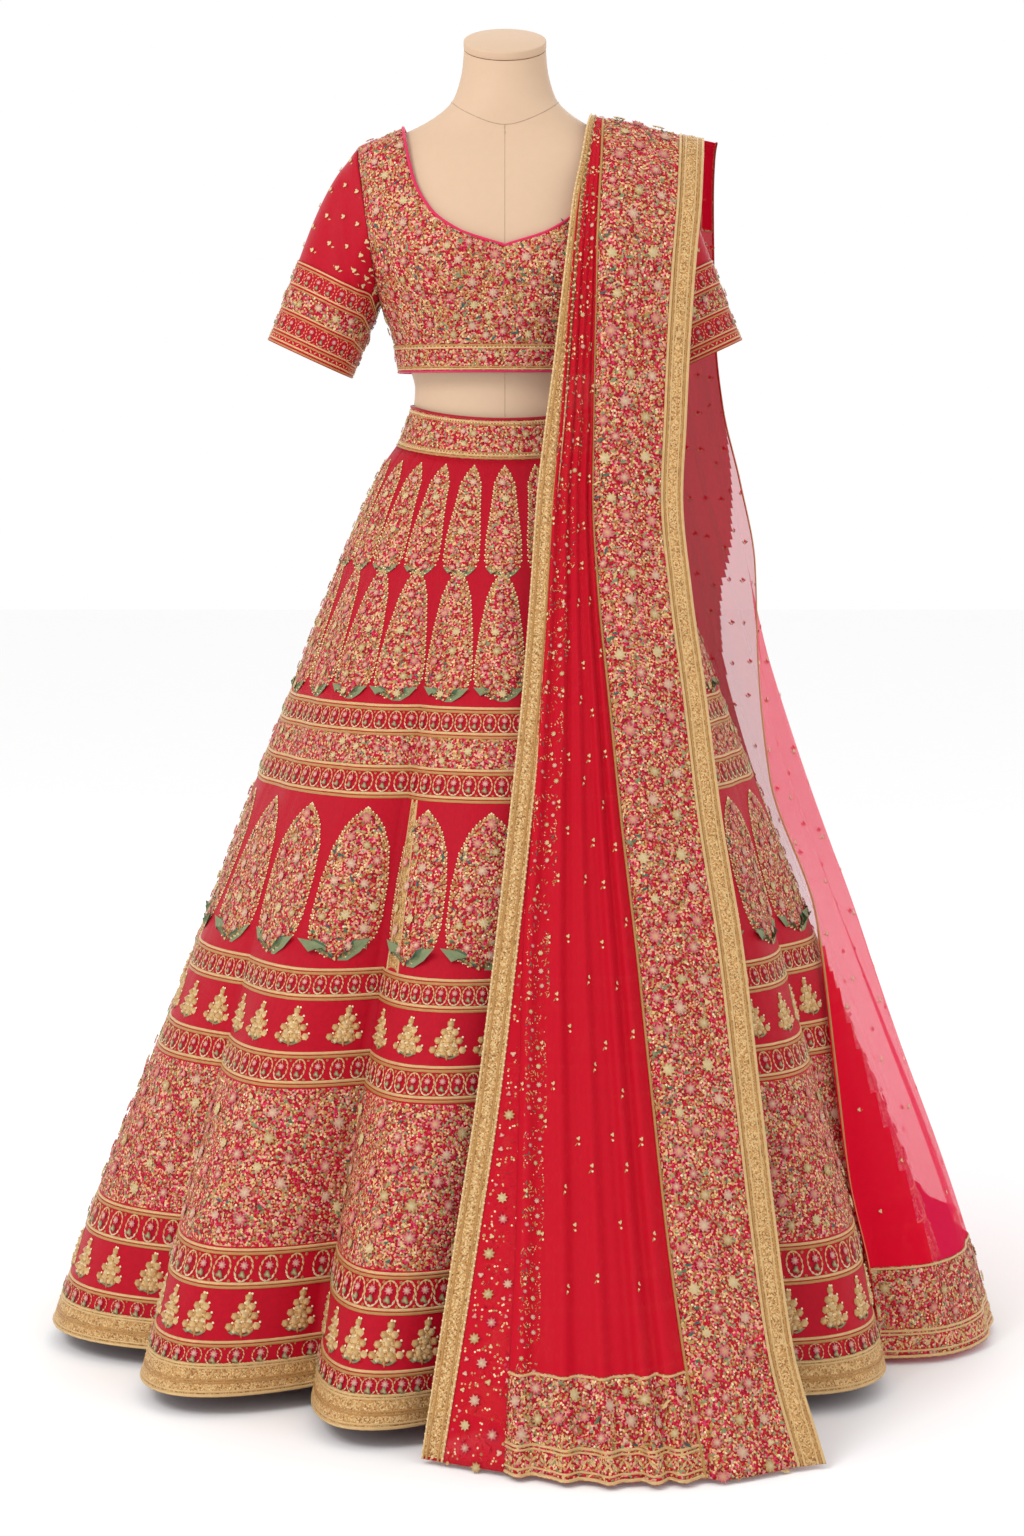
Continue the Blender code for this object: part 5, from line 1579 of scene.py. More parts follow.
    def sleeve_point(self, turn: float, along: float) -> Array:
        """A point of the left sleeve's outer face, from the armhole (0) to the cuff (1)."""
        top, front = math.cos(math.radians(turn)), math.sin(math.radians(turn))
        cuff = np.array(self.cuff_centre) + self.cuff_half_width * top * np.array(self.cuff_out)
        cuff = cuff + np.array((0.0, -self.cuff_half_depth * front, 0.0))
        full = self.fullness * 6.75 * along * (1.0 - along) ** 2 * max(top, 0.0)
        point = mix(self.armhole_point(turn), cuff, along) + full * np.array((0.8, 0.0, 0.6))
        for at, level, slant, depth, wide in (
            (60.0, 0.22, 0.0030, 0.0024, 0.07),
            (95.0, 0.34, 0.0022, 0.0018, 0.06),
            (140.0, 0.16, -0.0030, 0.0028, 0.06),
            (165.0, 0.30, 0.0020, 0.0022, 0.06),
            (-70.0, 0.26, -0.0026, 0.0022, 0.07),
            (-120.0, 0.18, 0.0026, 0.0024, 0.06),
            (20.0, 0.10, 0.0010, 0.0012, 0.05),
        ):
            away = (turn - at + 180.0) % 360.0 - 180.0
            fold = math.exp(-((away / 42.0) ** 2) - ((along - level - slant * away) / wide) ** 2)
            point = point * 1.0 + (point - self.middle(along)) / np.linalg.norm(point - self.middle(along)) * (-depth * fold * ease(along / 0.06))
        return point

    def sleeve_along(self, turn: float, v: float) -> float:
        """Where a level of the sleeve lies along it: the border takes the lower share at the same length all round."""
        length = np.linalg.norm(self.sleeve_point(turn, 0.0) - self.sleeve_point(turn, 1.0))
        start = max(1.0 - self.border_length / length, self.least_start)
        if v < self.border_share:
            return mix(1.0, start, v / self.border_share)
        return mix(start, 0.006, (v - self.border_share) / (1.0 - self.border_share))

    def middle(self, along: float) -> Array:
        """A point of the sleeve's middle line."""
        start = np.array(((self.armpit[0] + self.shoulder[0]) / 2, 0.0, (self.armpit[1] + self.shoulder[1]) / 2))
        return mix(start, np.array(self.cuff_centre), along)

    def sleeve(self, name: str, side: float) -> None:
        """One sleeve with its scattered bootis and its bands."""
        mirror = np.array((side, 1.0, 1.0))

        def point(u: float, v: float) -> Array:
            """A point of the sleeve, with the border's lines level with the cuff."""
            turn = -side * 360.0 * u
            return self.sleeve_point(turn, self.sleeve_along(turn, v)) * mirror

        face = face_from("sleeve", point, 80, 50, True)
        made = cloth_piece("choli_sleeve_cloth_" + name, [face], SATIN, self.cloth, ["choli_sleeve_" + name], LINING)
        declare(made, [face])
        strip = face.part("sleeve_strip", 0.0, self.border_share, 30).raised("sleeve_strip", 0.0013)
        band = cloth_piece("choli_sleeve_strip_" + name, [strip], SATIN, 0.0007, ["choli_sleeve_border_" + name])
        declare(band, [strip])
        work = Stitchery()
        around = np.linspace(0.0, 1.0, 97)
        lines = (0.02, 0.06, 0.13, 0.17, 0.39, 0.43, 0.69, 0.73, 0.94, 0.98)
        for number, level in enumerate(lines):
            tone = Thread.PALE_GOLD if number % 2 else Thread.GOLD
            work.cord(strip, around, np.full(97, level), 0.0011, tone, closed=True)
        cuff = chain(0.36, 0.009, 0.006)
        work.lay(strip, cuff, np.array((0.5,)), np.array((0.095,)))
        tall = strip.size()[1]
        count = 24
        booti = arch(0.36 / count, tall * 0.20)
        places = (np.arange(count) + 0.5) / count
        work.lay(strip, booti, places, np.full(count, 0.28))
        work.lay(strip, booti, places, np.full(count, 0.835))
        floral = dense(0.0875, tall * 0.25, endless(tall * 0.25), 13, 0.0105, True, 1.2)
        work.lay(strip, floral, (np.arange(4) + 0.5) / 4, np.full(4, 0.56), None, 0.0006)
        work.band(strip, 0.44, 0.68, Work.GROUND, 0.0007, 96)
        work.piece("choli_sleeve_work_" + name, "gold_border")
        booti = [Stitch(Motif.BLOSSOM, 0.0, 0.0, 0.0, 0.0062, (Thread.GOLD, Thread.PALE_GOLD, Thread.CREAM))]
        booti += [Stitch(Motif.LEAF, 0.0, -0.004, turn, 0.0050, LEAVES[5]) for turn in (1.0, -1.0)]
        u, v, turns = [], [], []
        for row, level in enumerate((0.53, 0.62, 0.71, 0.80, 0.89, 0.96)):
            count = 9
            for number in range(count):
                u.append((number + 0.5 * (row % 2)) / count)
                v.append(level)
                turns.append(1.0 if number % 2 else -1.0)
        work.lay(face, booti, np.array(u), np.array(v), np.array(turns))
        work.piece("choli_sleeve_bootis_" + name, "choli_cloth")


@dataclass
class Lehenga:
    """The skirt: waistband, 24 kalis with their embroidery, and the hem border."""

    band_top: float = 1.114
    band_bottom: float = 1.065
    front_dip: float = 0.0155
    hem: float = 0.022
    kalis: int = 24
    turn: float = 15.0
    first_valley: float = -82.5
    cloth: float = 0.0018
    border_top: float = 0.058
    columns: int = 288
    rows: int = 110
    seam_depth: float = 0.0009

    def __post_init__(self) -> None:
        """Works out the curves of the skirt's table."""
        self.width, self.ratio = curves_of(SKIRT_ROWS)

    def angle(self, place: float, height: float) -> float:
        """The angle of a place round the skirt, counted in kalis from the first valley."""
        top = self.first_valley + self.turn * place
        lobe, share = divmod(place / 2.0, 1.0)
        turns, lobe = divmod(int(lobe), len(VALLEYS))
        start = VALLEYS[lobe][0]
        end = VALLEYS[lobe + 1][0] if lobe + 1 < len(VALLEYS) else VALLEYS[0][0] + 360.0
        hem = mix(start, end, share) + 360.0 * turns
        down = min(max((self.band_bottom - height) / (self.band_bottom - self.hem), 0.0), 1.0)
        return mix(top, hem, down**1.5)

    def valley_depth(self, valley: int, height: float) -> float:
        """How deep a fold valley is at a height."""
        depth, start = VALLEYS[valley % len(VALLEYS)][1:]
        return depth * max(1.0 - height / start, 0.0) ** 1.25

    def fold(self, place: float, height: float) -> float:
        """How far the skirt lies inside its crests."""
        lobe, share = divmod(place / 2.0, 1.0)
        near_start = max(1.0 - math.sin(math.pi * min(share, 0.5)), 0.0)
        near_end = max(1.0 - math.sin(math.pi * min(1.0 - share, 0.5)), 0.0)
        return self.valley_depth(int(lobe), height) * near_start + self.valley_depth(int(lobe) + 1, height) * near_end

    def crease(self, place: float, height: float) -> float:
        """Soft uneven creases between the great folds, outward in metres."""
        total = 0.0
        for at, low, high, depth, wide in (
            (1.3, 0.45, 0.98, 0.0040, 0.32),
            (2.9, 0.60, 1.02, 0.0028, 0.25),
            (4.8, 0.30, 0.95, 0.0045, 0.34),
            (6.5, 0.55, 1.00, 0.0030, 0.28),
            (8.6, 0.25, 0.90, 0.0045, 0.34),
            (10.3, 0.50, 1.00, 0.0034, 0.30),
            (12.5, 0.35, 0.95, 0.0042, 0.30),
            (14.6, 0.48, 1.01, 0.0036, 0.30),
            (16.7, 0.30, 0.92, 0.0046, 0.36),
            (18.4, 0.55, 1.00, 0.0030, 0.26),
            (20.6, 0.40, 0.98, 0.0040, 0.32),
            (22.7, 0.28, 0.90, 0.0044, 0.34),
        ):
            away = (place - at + 12.0) % 24.0 - 12.0
            level = (height - (low + high) / 2) / ((high - low) / 2)
            if abs(away) < 3.0 * wide and abs(level) < 1.0:
                total -= depth * math.exp(-((away / wide) ** 2)) * (1.0 - level * level)
        seam = abs((place + 0.5) % 1.0 - 0.5)
        total -= self.seam_depth * math.exp(-((seam / 0.045) ** 2)) * (0.3 if height < 0.36 else 1.0)
        return total

    def point(self, u: float, v: float) -> Array:
        """A point of the skirt's outer face, u round from the first valley and v up from the hem."""
        place = self.kalis * u
        height = mix(self.hem, self.band_bottom, v)
        turn = math.radians(self.angle(place, height))
        radius = self.width(height) - self.fold(place, height) + self.crease(place, height)
        dip = self.front_dip * max(math.cos(turn), 0.0) ** 1.5 * max(1.0 - (self.band_bottom - height) / 0.11, 0.0)
        return np.array((radius * math.sin(turn), -radius * float(self.ratio(height)) * math.cos(turn), height - dip))

    def level(self, height: float) -> float:
        """The face's v at a height."""
        return (height - self.hem) / (self.band_bottom - self.hem)

    def kali_width(self, height: float) -> float:
        """About how wide a kali is at a height, along the cloth."""
        return float(self.face.sample(self.face.along, np.array((0.52,)), np.array((self.level(height),)))[0]) / self.kalis

    def build(self) -> None:
        """Builds every piece of the skirt."""
        self.face = face_from("skirt", self.point, self.columns, self.rows, True)
        whole = [f"lehenga_kali_{number + 1:02d}" for number in range(self.kalis)]
        skirt = cloth_piece("lehenga_skirt_cloth", [self.face], RAW_SILK, self.cloth, whole, LINING)
        declare(skirt, [self.face])
        self.waistband()
        self.centres = (np.arange(self.kalis) + 0.5) / self.kalis
        self.flips = np.where(np.arange(self.kalis) % 2 == 0, 1.0, -1.0)
        self.motifs()
        self.floral_band()
        self.arch_bands()
        self.trees()
        self.jaal()
        self.border()
        self.edging()

    def edging(self) -> None:
        """Gold strips that run down beside a few of the deep folds, on the third row."""
        work = Stitchery()
        low, high, steps = 0.477, 0.664, 24
        v = np.linspace(self.level(low), self.level(high), steps)
        for start, side in ((4.0, 1.0), (12.0, 1.0), (16.0, -1.0)):
            near, wide = start + side * 0.14, side * np.linspace(0.26, 0.10, steps)
            lines = near + wide[:, None] * np.array((0.0, 0.12, 0.88, 1.0))[None]
            u = np.sort(lines, axis=1) / self.kalis
            work.patch(self.face, u, np.broadcast_to(v[:, None], u.shape), Work.GILT, 0.0012)
            for number, tone in ((0, Thread.PALE_GOLD), (3, Thread.PALE_GOLD)):
                work.cord(self.face, u[:, number], v, 0.0015, tone)
        work.piece("lehenga_fold_edging", "gold_border")

    def waistband(self) -> None:
        """The waistband with its piping, cords and floral work."""

        def point(u: float, v: float) -> Array:
            """A point of the waistband."""
            height = mix(self.band_bottom, self.band_top, v)
            turn = math.radians(self.first_valley + 360.0 * u)
            radius = float(self.width(height))
            dip = self.front_dip * max(math.cos(turn), 0.0) ** 1.5
            return np.array((radius * math.sin(turn), -radius * float(self.ratio(height)) * math.cos(turn), height - dip))

        face = face_from("waistband", point, 144, 10, True)
        made = cloth_piece("lehenga_waistband_cloth", [face], STITCHED, 0.002, ["lehenga_waistband"], LINING)
        declare(made, [face])
        work = Stitchery()
        around = np.linspace(0.0, 1.0, 145)
        for level, radius, tone in ((0.975, 0.0019, Thread.CRIMSON), (0.90, 0.0012, Thread.PALE_GOLD), (0.84, 0.0010, Thread.GOLD), (0.15, 0.0010, Thread.GOLD), (0.09, 0.0012, Thread.PALE_GOLD), (0.03, 0.0014, Thread.GOLD)):
            work.cord(face, around, np.full(145, level), radius, tone, closed=True)
        tile = dense(0.0655, 0.030, endless(0.030), 21, 0.0095, True, 1.3)
        count = 12
        work.lay(face, tile, (np.arange(count) + 0.5) / count, np.full(count, 0.495))
        tones = np.tile(np.array([tone.value for tone in BEADS[0]]), (190, 1, 1))
        for level in (0.87, 0.12):
            work.scatter(face, Motif.BEAD, np.arange(190) / 190, np.full(190, level), np.zeros(190), np.full(190, 0.0011), tones)
        work.piece("lehenga_waistband_work", "gold_border")

    def almonds(self, name: str, foot: float, almond: Almond, seed: int, flower: float) -> None:
        """A row of upright almonds, one on each kali."""
        work = Stitchery()
        pattern = dense(2.0 * almond.half, almond.height, almond.inside, seed, flower, False, 1.2)
        pattern += almond.rim(0.0058) + almond.crown(flower * 0.8) + almond.foot()
        level = self.level(foot + almond.height / 2)
        work.lay(self.face, pattern, self.centres, np.full(self.kalis, level), self.flips, 0.0007)
        for centre in self.centres:
            almond.ground(work, self.face, centre, level)
        work.piece(name, "lehenga_cloth")

    def motifs(self) -> None:
        """Narrow columns below the waist, longer almonds under them, and great almonds lower down."""
        self.almonds("lehenga_column_work", 0.918, Almond(0.0178, 0.134, COLUMN_SHAPE), 31, 0.0100)
        self.almonds("lehenga_almond_work", 0.768, Almond(0.0265, 0.160, ALMOND_SHAPE), 32, 0.0112)
        self.almonds("lehenga_great_almond_work", 0.486, Almond(0.0380, 0.170, GREAT_SHAPE), 33, 0.0125)

    def floral_band(self) -> None:
        """The floral ring between two rings of arches."""
        work = Stitchery()
        low, high = 0.700, 0.736
        wide = self.kali_width(0.718)
        tile = dense(2.0 * wide, high - low - 0.003, endless(high - low - 0.003), 34, 0.0100, True)
        pairs = (np.arange(12) + 0.5) / 12
        work.lay(self.face, tile, pairs, np.full(12, self.level((low + high) / 2)), None, 0.0007)
        work.band(self.face, self.level(low + 0.001), self.level(high - 0.001), Work.GROUND, 0.0008, 288)
        work.piece("lehenga_floral_ring", "lehenga_cloth")

    def rings(self, work: Stitchery, heights: Sequence[float]) -> None:
        """Pairs of couched gold cords round the skirt, with beads between."""
        around = np.linspace(0.0, 1.0, 289)
        for height in heights:
            for offset, radius, tone in ((0.0020, 0.0017, Thread.PALE_GOLD), (-0.0020, 0.0017, Thread.GOLD)):
                level = self.level(height + offset)
                work.cord(self.face, around, np.full(289, level), radius, tone, closed=True)

    def arch_bands(self) -> None:
        """Six rings of arch bootis between gold cords."""
        work = Stitchery()
        bands = (
            (0.738, 0.766, 96),
            (0.668, 0.698, 96),
            (0.446, 0.474, 144),
            (0.353, 0.384, 144),
            (0.140, 0.176, 144),
            (0.053, 0.078, 168),
        )
        for low, high, count in bands:
            tall = high - low - 0.005
            wide = self.kali_width((low + high) / 2) * self.kalis / count
            u = (np.arange(count) + 0.5) / count
            work.lay(self.face, arch(wide, tall), u, np.full(count, self.level((low + high) / 2)), None, 0.0007)
        work.piece("lehenga_arch_work", "lehenga_cloth")
        self.rings(work, sorted({edge for low, high, _ in bands for edge in (low, high)}))
        work.piece("lehenga_cord_rings", "gold_border")

    def trees(self) -> None:
        """Two rings of small gold trees on plain silk."""
        work = Stitchery()
        for low, high, count, share in ((0.388, 0.442, 48, 0.80), (0.080, 0.138, 72, 0.80)):
            tall = high - low - 0.006
            wide = min(self.kali_width((low + high) / 2) * self.kalis / count * share, tall * 0.92)
            u = (np.arange(count) + 0.5) / count
            middle = self.level((low + high) / 2)
            work.lay(self.face, tree(wide, tall), u, np.full(count, middle), None, 0.0009)
            ground = Almond(0.36 * wide, 0.80 * tall, CONE_SHAPE)
            for centre in u:
                ground.ground(work, self.face, centre, middle, Work.GILT)
        work.piece("lehenga_tree_work", "lehenga_cloth")

    def jaal(self) -> None:
        """The deep all-over floral ring."""
        work = Stitchery()
        low, high = 0.178, 0.351
        tall = high - low - 0.004
        wide = self.kali_width((low + high) / 2)
        for part in range(2):
            tile = dense(2.0 * wide, tall, endless(tall), 35 + part, 0.0150, True)
            pairs = (np.arange(part, 12, 2) + 0.5) / 12
            work.lay(self.face, tile, pairs, np.full(6, self.level((low + high) / 2)), None, 0.0007)
            if part:
                work.band(self.face, self.level(low + 0.001), self.level(high - 0.001), Work.GROUND, 0.0009, 288)
            work.piece(f"lehenga_jaal_work_{part + 1}", "lehenga_cloth")

    def border(self) -> None:
        """The gold border at the hem, in its two lengths."""
        high = self.level(self.border_top)
        strip = self.face.part("hem_strip", 0.0, high, 6).raised("hem_strip", 0.0014)
        made = cloth_piece("lehenga_hem_strip", [strip], GOLD_WEAVE, 0.0008, ["lehenga_hem_border_left", "lehenga_hem_border_right"])
        declare(made, [strip])
        work = Stitchery()
        around = np.linspace(0.0, 1.0, 289)
        for level, radius in ((0.05, 0.0018), (0.16, 0.0012), (0.42, 0.0011), (0.50, 0.0011), (0.86, 0.0012), (0.95, 0.0014)):
            work.cord(strip, around, np.full(289, level), radius, Thread.PALE_GOLD if radius > 0.00115 else Thread.GOLD, closed=True)
        length = strip.size()[0]
        repeat = length / 144
        tile = chain(repeat, 0.014, repeat / 2)
        count = 144
        work.lay(strip, tile, (np.arange(count) + 0.5) / count, np.full(count, 0.68))
        tile = chain(repeat, 0.010, repeat / 3)
        work.lay(strip, tile, (np.arange(count) + 0.5) / count, np.full(count, 0.29))
        work.piece("lehenga_hem_work", "gold_border")


@dataclass
class Dupatta:
    """The net veil: a pleated drop in front, and a fall behind."""

    cloth: float = 0.0009
    lining_gap: float = 0.0011
    pleats: int = 5
    band_stand: float = 0.008
    rows: int = 150
    tuck_top: float = 0.960
    tuck_reach: float = 0.360
    sheer_top: float = 1.130
    sheer_reach: float = 0.420
    sheer_strip: float = 0.058
    edging_low: float = 1.320

    def drop_rows(self, columns: int, start: Callable[[tuple], float], end: Callable[[tuple], float], forward: Callable[[int, float], float]) -> Array:
        """The front drop's few rows between two of its edges, as points."""
        rows = []
        for number, row in enumerate(FRONT_DROP):
            z_left, z_right, x_left, _, _, x_right, y_left, y_right, belly, _ = row
            flat = ease(2.0 - number)
            line = []
            for column in range(columns + 1):
                share = column / columns
                width = mix(start(row), end(row), share)
                along = (width - x_left) / (x_right - x_left)
                depth = mix(y_left, y_right, along) - belly * math.sin(math.pi * min(max(along, 0.0), 1.0))
                stand = forward(number, share)
                line.append((width, depth - stand * (1.0 - flat), mix(z_left, z_right, along) + stand * flat))
            rows.append(line)
        return np.array(rows)

    def net_forward(self, row: int, share: float) -> float:
        """How far the front net's uneven pleats stand forward."""
        bent = share + 0.035 * math.sin(2.0 * math.pi * share + 0.6) + 0.018 * math.sin(5.0 * math.pi * share)
        main = 0.5 - 0.5 * math.cos(2.0 * math.pi * self.pleats * bent)
        fine = 0.07 * math.sin(2.0 * math.pi * 9.0 * share + row * 0.22) * min(share, 1 - share) * 4.0
        return FRONT_DROP[row][9] * (0.62 * main + fine)

    def band_forward(self, row: int, share: float) -> float:
        """The outer border stands forward of the net, past a soft roll at its inner edge."""
        grown = min(row / 4.0, 1.0)
        return self.band_stand * grown * ease(share / 0.12) + 0.004 * grown * math.sin(2.0 * math.pi * share)

    def build(self) -> None:
        """Builds the front drop and the back fall."""
        self.front()
        self.back()

    def front(self) -> None:
        """The inner border, the pleated net, the outer border, and the end."""
        gap = 0.0006
        net = Face("net", loft(self.drop_rows(84, lambda row: row[3] - 0.006, lambda row: row[4] + 0.004, self.net_forward), self.rows))
        inner = Face("inner", loft(self.drop_rows(24, lambda row: row[2], lambda row: row[3] - gap, lambda row, share: 0.0), self.rows))
        outer = Face("outer", loft(self.drop_rows(30, lambda row: row[4], lambda row: row[5], self.band_forward), self.rows))
        net_piece = cloth_piece("dupatta_front_net_cloth", [net], FRONT_NET, self.cloth, ["dupatta_front_net", "dupatta_front_end_border"], NET_INSIDE)
        inner_piece = cloth_piece("dupatta_inner_border_cloth", [inner], FRONT_NET, self.cloth, ["dupatta_front_inner_border"], NET_INSIDE)
        outer_piece = cloth_piece("dupatta_outer_border_cloth", [outer], STITCHED, self.cloth, ["dupatta_front_outer_border"])
        for piece, face in ((net_piece, net), (inner_piece, inner), (outer_piece, outer)):
            declare(piece, [face])
        self.outer_work(outer)
        self.inner_work(inner)
        self.net_work(net)

    def length(self, face: Face) -> float:
        """The face's length, up its middle."""
        middle = face.points[:, face.points.shape[1] // 2]
        return float(np.linalg.norm(np.diff(middle, axis=0), axis=1).sum())

    def line(self, work: Stitchery, face: Face, u: float, radius: float, tone: Thread, lift: float = 0.0) -> None:
        """A cord up the face's whole length."""
        v = np.linspace(0.0, 1.0, self.rows + 1)
        work.cord(face, np.full(len(v), u), v, radius, tone, lift)

    def outer_work(self, face: Face) -> None:
        """Floral band with a gold strip on its outer edge."""
        length, wide = self.length(face), 0.119
        tall, repeat = 0.086, 0.24
        tile = dense(repeat, tall, endless(tall), 51, 0.0150, True, 1.2)
        turned = [Stitch(s.motif, -s.y, s.x, s.turn + math.pi / 2, s.size, s.tones) for s in tile]
        count = int(length / repeat)
        v = (np.arange(count) + 0.5) * repeat / length
        work = Stitchery()
        work.lay(face, turned, np.full(count, 0.5 * tall / wide + 0.02), v)
        rest = (count * repeat + (length - count * repeat) / 2) / length
        short = [s for s in turned if abs(s.y) < (length - count * repeat) / 2]
        work.lay(face, short, np.array((0.5 * tall / wide + 0.02,)), np.array((rest,)))
        work.piece("dupatta_outer_floral_work", "gold_border")
        work.runner(face, 0.775, 0.997, Work.GILT, 0.0012, self.rows)
        cords = (
            (0.012, 0.0015, Thread.GOLD),
            (0.770, 0.0017, Thread.PALE_GOLD),
            (0.797, 0.0012, Thread.GOLD),
            (0.822, 0.0012, Thread.PALE_GOLD),
            (0.932, 0.0012, Thread.PALE_GOLD),
            (0.957, 0.0012, Thread.GOLD),
            (0.985, 0.0018, Thread.PALE_GOLD),
        )
        for u, radius, tone in cords:
            self.line(work, face, u, radius, tone, 0.0010)
        strip = chain(0.06, 0.013, 0.0075)
        upright = [Stitch(s.motif, -s.y, s.x, s.turn + math.pi / 2, s.size, s.tones) for s in strip]
        count = int(length / 0.06)
        work.lay(face, upright, np.full(count, 0.877), (np.arange(count) + 0.5) / count, None, 0.0012)
        scallop = [Stitch(Motif.LEAF, 0.0, 0.0, turn, 0.0046, LEAVES[5]) for turn in (1.2, 1.94)]
        scallop.append(Stitch(Motif.BEAD, -0.002, 0.006, 0.0, 0.0016, BEADS[0]))
        count = int(length / 0.012)
        work.lay(face, scallop, np.full(count, 0.03), (np.arange(count) + 0.5) / count)
        work.piece("dupatta_outer_gold_work", "gold_border")

    def inner_work(self, face: Face) -> None:
        """The gold strip on the inner edge, and the border that shows beside it."""
        length = self.length(face)
        work = Stitchery()
        wide = face.sample(face.along, np.full(60, 0.5), np.linspace(0, 1, 60))
        strip = 0.026
        v = np.linspace(0.0, 1.0, self.rows + 1)
        across = np.interp(v, np.linspace(0, 1, 60), wide)
        edges = np.minimum(np.array((0.0004, 0.003, strip - 0.003, strip))[None] / across[:, None], 0.98)
        work.patch(face, edges, np.broadcast_to(v[:, None], edges.shape), Work.GILT, 0.0011)
        for number, offset in enumerate((0.0014, strip - 0.0014, 0.0062, strip - 0.0062, strip * 0.5)):
            u = np.minimum(offset / across, 0.97)
            if number < 4:
                work.cord(face, u, v, 0.0014, Thread.GOLD if number > 1 else Thread.PALE_GOLD, 0.0009)
            else:
                count = int(length / 0.0075)
                at = (np.arange(count) + 0.5) / count
                u = np.interp(at, v, u)
                turn = np.where(np.arange(count) % 2 == 0, 0.9, -0.9) + math.pi / 2
                tones = np.tile(np.array([Thread.PALE_GOLD.value] * 3), (count, 1, 1))
                work.scatter(face, Motif.LOZENGE, u, at, turn, np.full(count, 0.0056), tones, 0.0011)
                for side in (0.04, 0.5, 0.97):
                    uu = np.minimum(strip * side / np.interp(at, v, across), 0.97)
                    beads = np.tile(np.array([tone.value for tone in BEADS[0]]), (count, 1, 1))
                    work.scatter(face, Motif.BEAD, uu, at, np.zeros(count), np.full(count, 0.0014), beads, 0.0016)
        work.piece("dupatta_inner_gold_work", "gold_border")
        tall, repeat = 0.066, 0.24
        tile = dense(repeat, tall, endless(tall), 52, 0.0120, True, 1.4)
        count = int(length / repeat) + 1
        chosen = []
        for number in range(count):
            for s in tile:
                chosen.append((s.motif, strip + 0.003 + s.y + tall / 2, (number + 0.5) * repeat + s.x, s.turn + math.pi / 2, s.size, s.tones))
        for motif in Motif:
            some = [one for one in chosen if one[0] is motif]
            if not some:
                continue
            v = np.array([one[2] / length for one in some])
            across = np.interp(v, np.linspace(0, 1, 60), wide)
            reach = np.array([one[1] for one in some])
            size = np.array([one[4] for one in some])
            keep = (v < 0.985) & (reach + size < across - 0.001)
            tones = np.array([[tone.value for tone in one[5]] for one in some])
            turn = np.array([one[3] for one in some])
            work.scatter(face, motif, (reach / across)[keep], v[keep], turn[keep], size[keep], tones[keep])
        work.piece("dupatta_inner_floral_work", "gold_border")

    def net_work(self, face: Face) -> None:
        """Scattered bootis on the net, and the border across its end."""
        length = self.length(face)
        work = Stitchery()
        booti = [Stitch(Motif.BLOSSOM, 0.0, 0.0, 0.0, 0.0046, (Thread.GOLD, Thread.PALE_GOLD, Thread.CREAM))]
        booti += [Stitch(Motif.BEAD, 0.0, -0.006, 0.0, 0.0014, BEADS[0]), Stitch(Motif.LEAF, 0.0, -0.004, 2.4, 0.0036, LEAVES[3])]
        draws = random.Random(61)
        u, v = [], []
        for row in range(26):
            for number in range(4):
                u.append((number + 0.5 * (row % 2) + draws.uniform(0.1, 0.5)) / 4.3)
                v.append((row + draws.uniform(0.2, 0.8)) / 26 * 0.86 + 0.11)
        work.lay(face, booti, np.array(u), np.array(v), None, 0.0004)
        work.piece("dupatta_front_bootis", "dupatta_net")
        self.veil_band(work, face, length)
        self.end_border(work, face, length, 0.205, 53, "dupatta_front_end")

    def veil_band(self, work: Stitchery, face: Face, length: float) -> None:
        """The fine floral band on the net beside the inner gold strip, closer set lower down."""
        tall, repeat = 0.030, 0.12
        tile = dense(repeat, tall, endless(tall), 55, 0.0075, True, 0.8)
        turned = [Stitch(s.motif, -s.y, s.x, s.turn + math.pi / 2, s.size * 0.8, s.tones) for s in tile]
        count = int(length / repeat)
        v = (np.arange(count) + 0.5) / count
        across = face.sample(face.along, np.full(count, 0.1), v)
        draws = random.Random(56)
        for place, wide in zip(v, across):
            chosen = [stitch for stitch in turned if draws.random() < mix(0.9, 0.45, place)]
            work.lay(face, chosen, np.array((0.024 / wide,)), np.array((place,)), None, 0.0002)
        work.piece("dupatta_veil_band", "dupatta_net")

    def end_border(self, work: Stitchery, face: Face, length: float, wide: float, seed: int, name: str) -> None:
        """The floral and gold border across an end of the net, on a strip of its own."""
        high = 0.108 / length
        strip = face.part(name, 0.0, high, 14).raised(name, 0.0010)
        ground = cloth_piece(name + "_strip", [strip], STITCHED, 0.0007, ())
        declare(ground, [strip])
        width = strip.size()[0]
        repeat = 0.2
        count = max(int(width / repeat), 1)
        repeat = width / count
        tall = 0.070
        tile = dense(repeat, tall, endless(tall), seed, 0.0140, True, 1.2)
        u = (np.arange(count) + 0.5) / count
        work.lay(strip, tile, u, np.full(count, 0.64))
        around = np.linspace(0.0, 1.0, face.points.shape[1])
        for level, radius in ((0.02, 0.0018), (0.08, 0.0012), (0.26, 0.0012), (0.30, 0.0016), (0.98, 0.0014)):
            work.cord(strip, around, np.full(len(around), level), radius, Thread.PALE_GOLD)
        many = int(width / 0.06)
        work.lay(strip, chain(0.06, 0.017, 0.0075), (np.arange(many) + 0.5) / many, np.full(many, 0.17))
        work.piece(name + "_work", "gold_border")

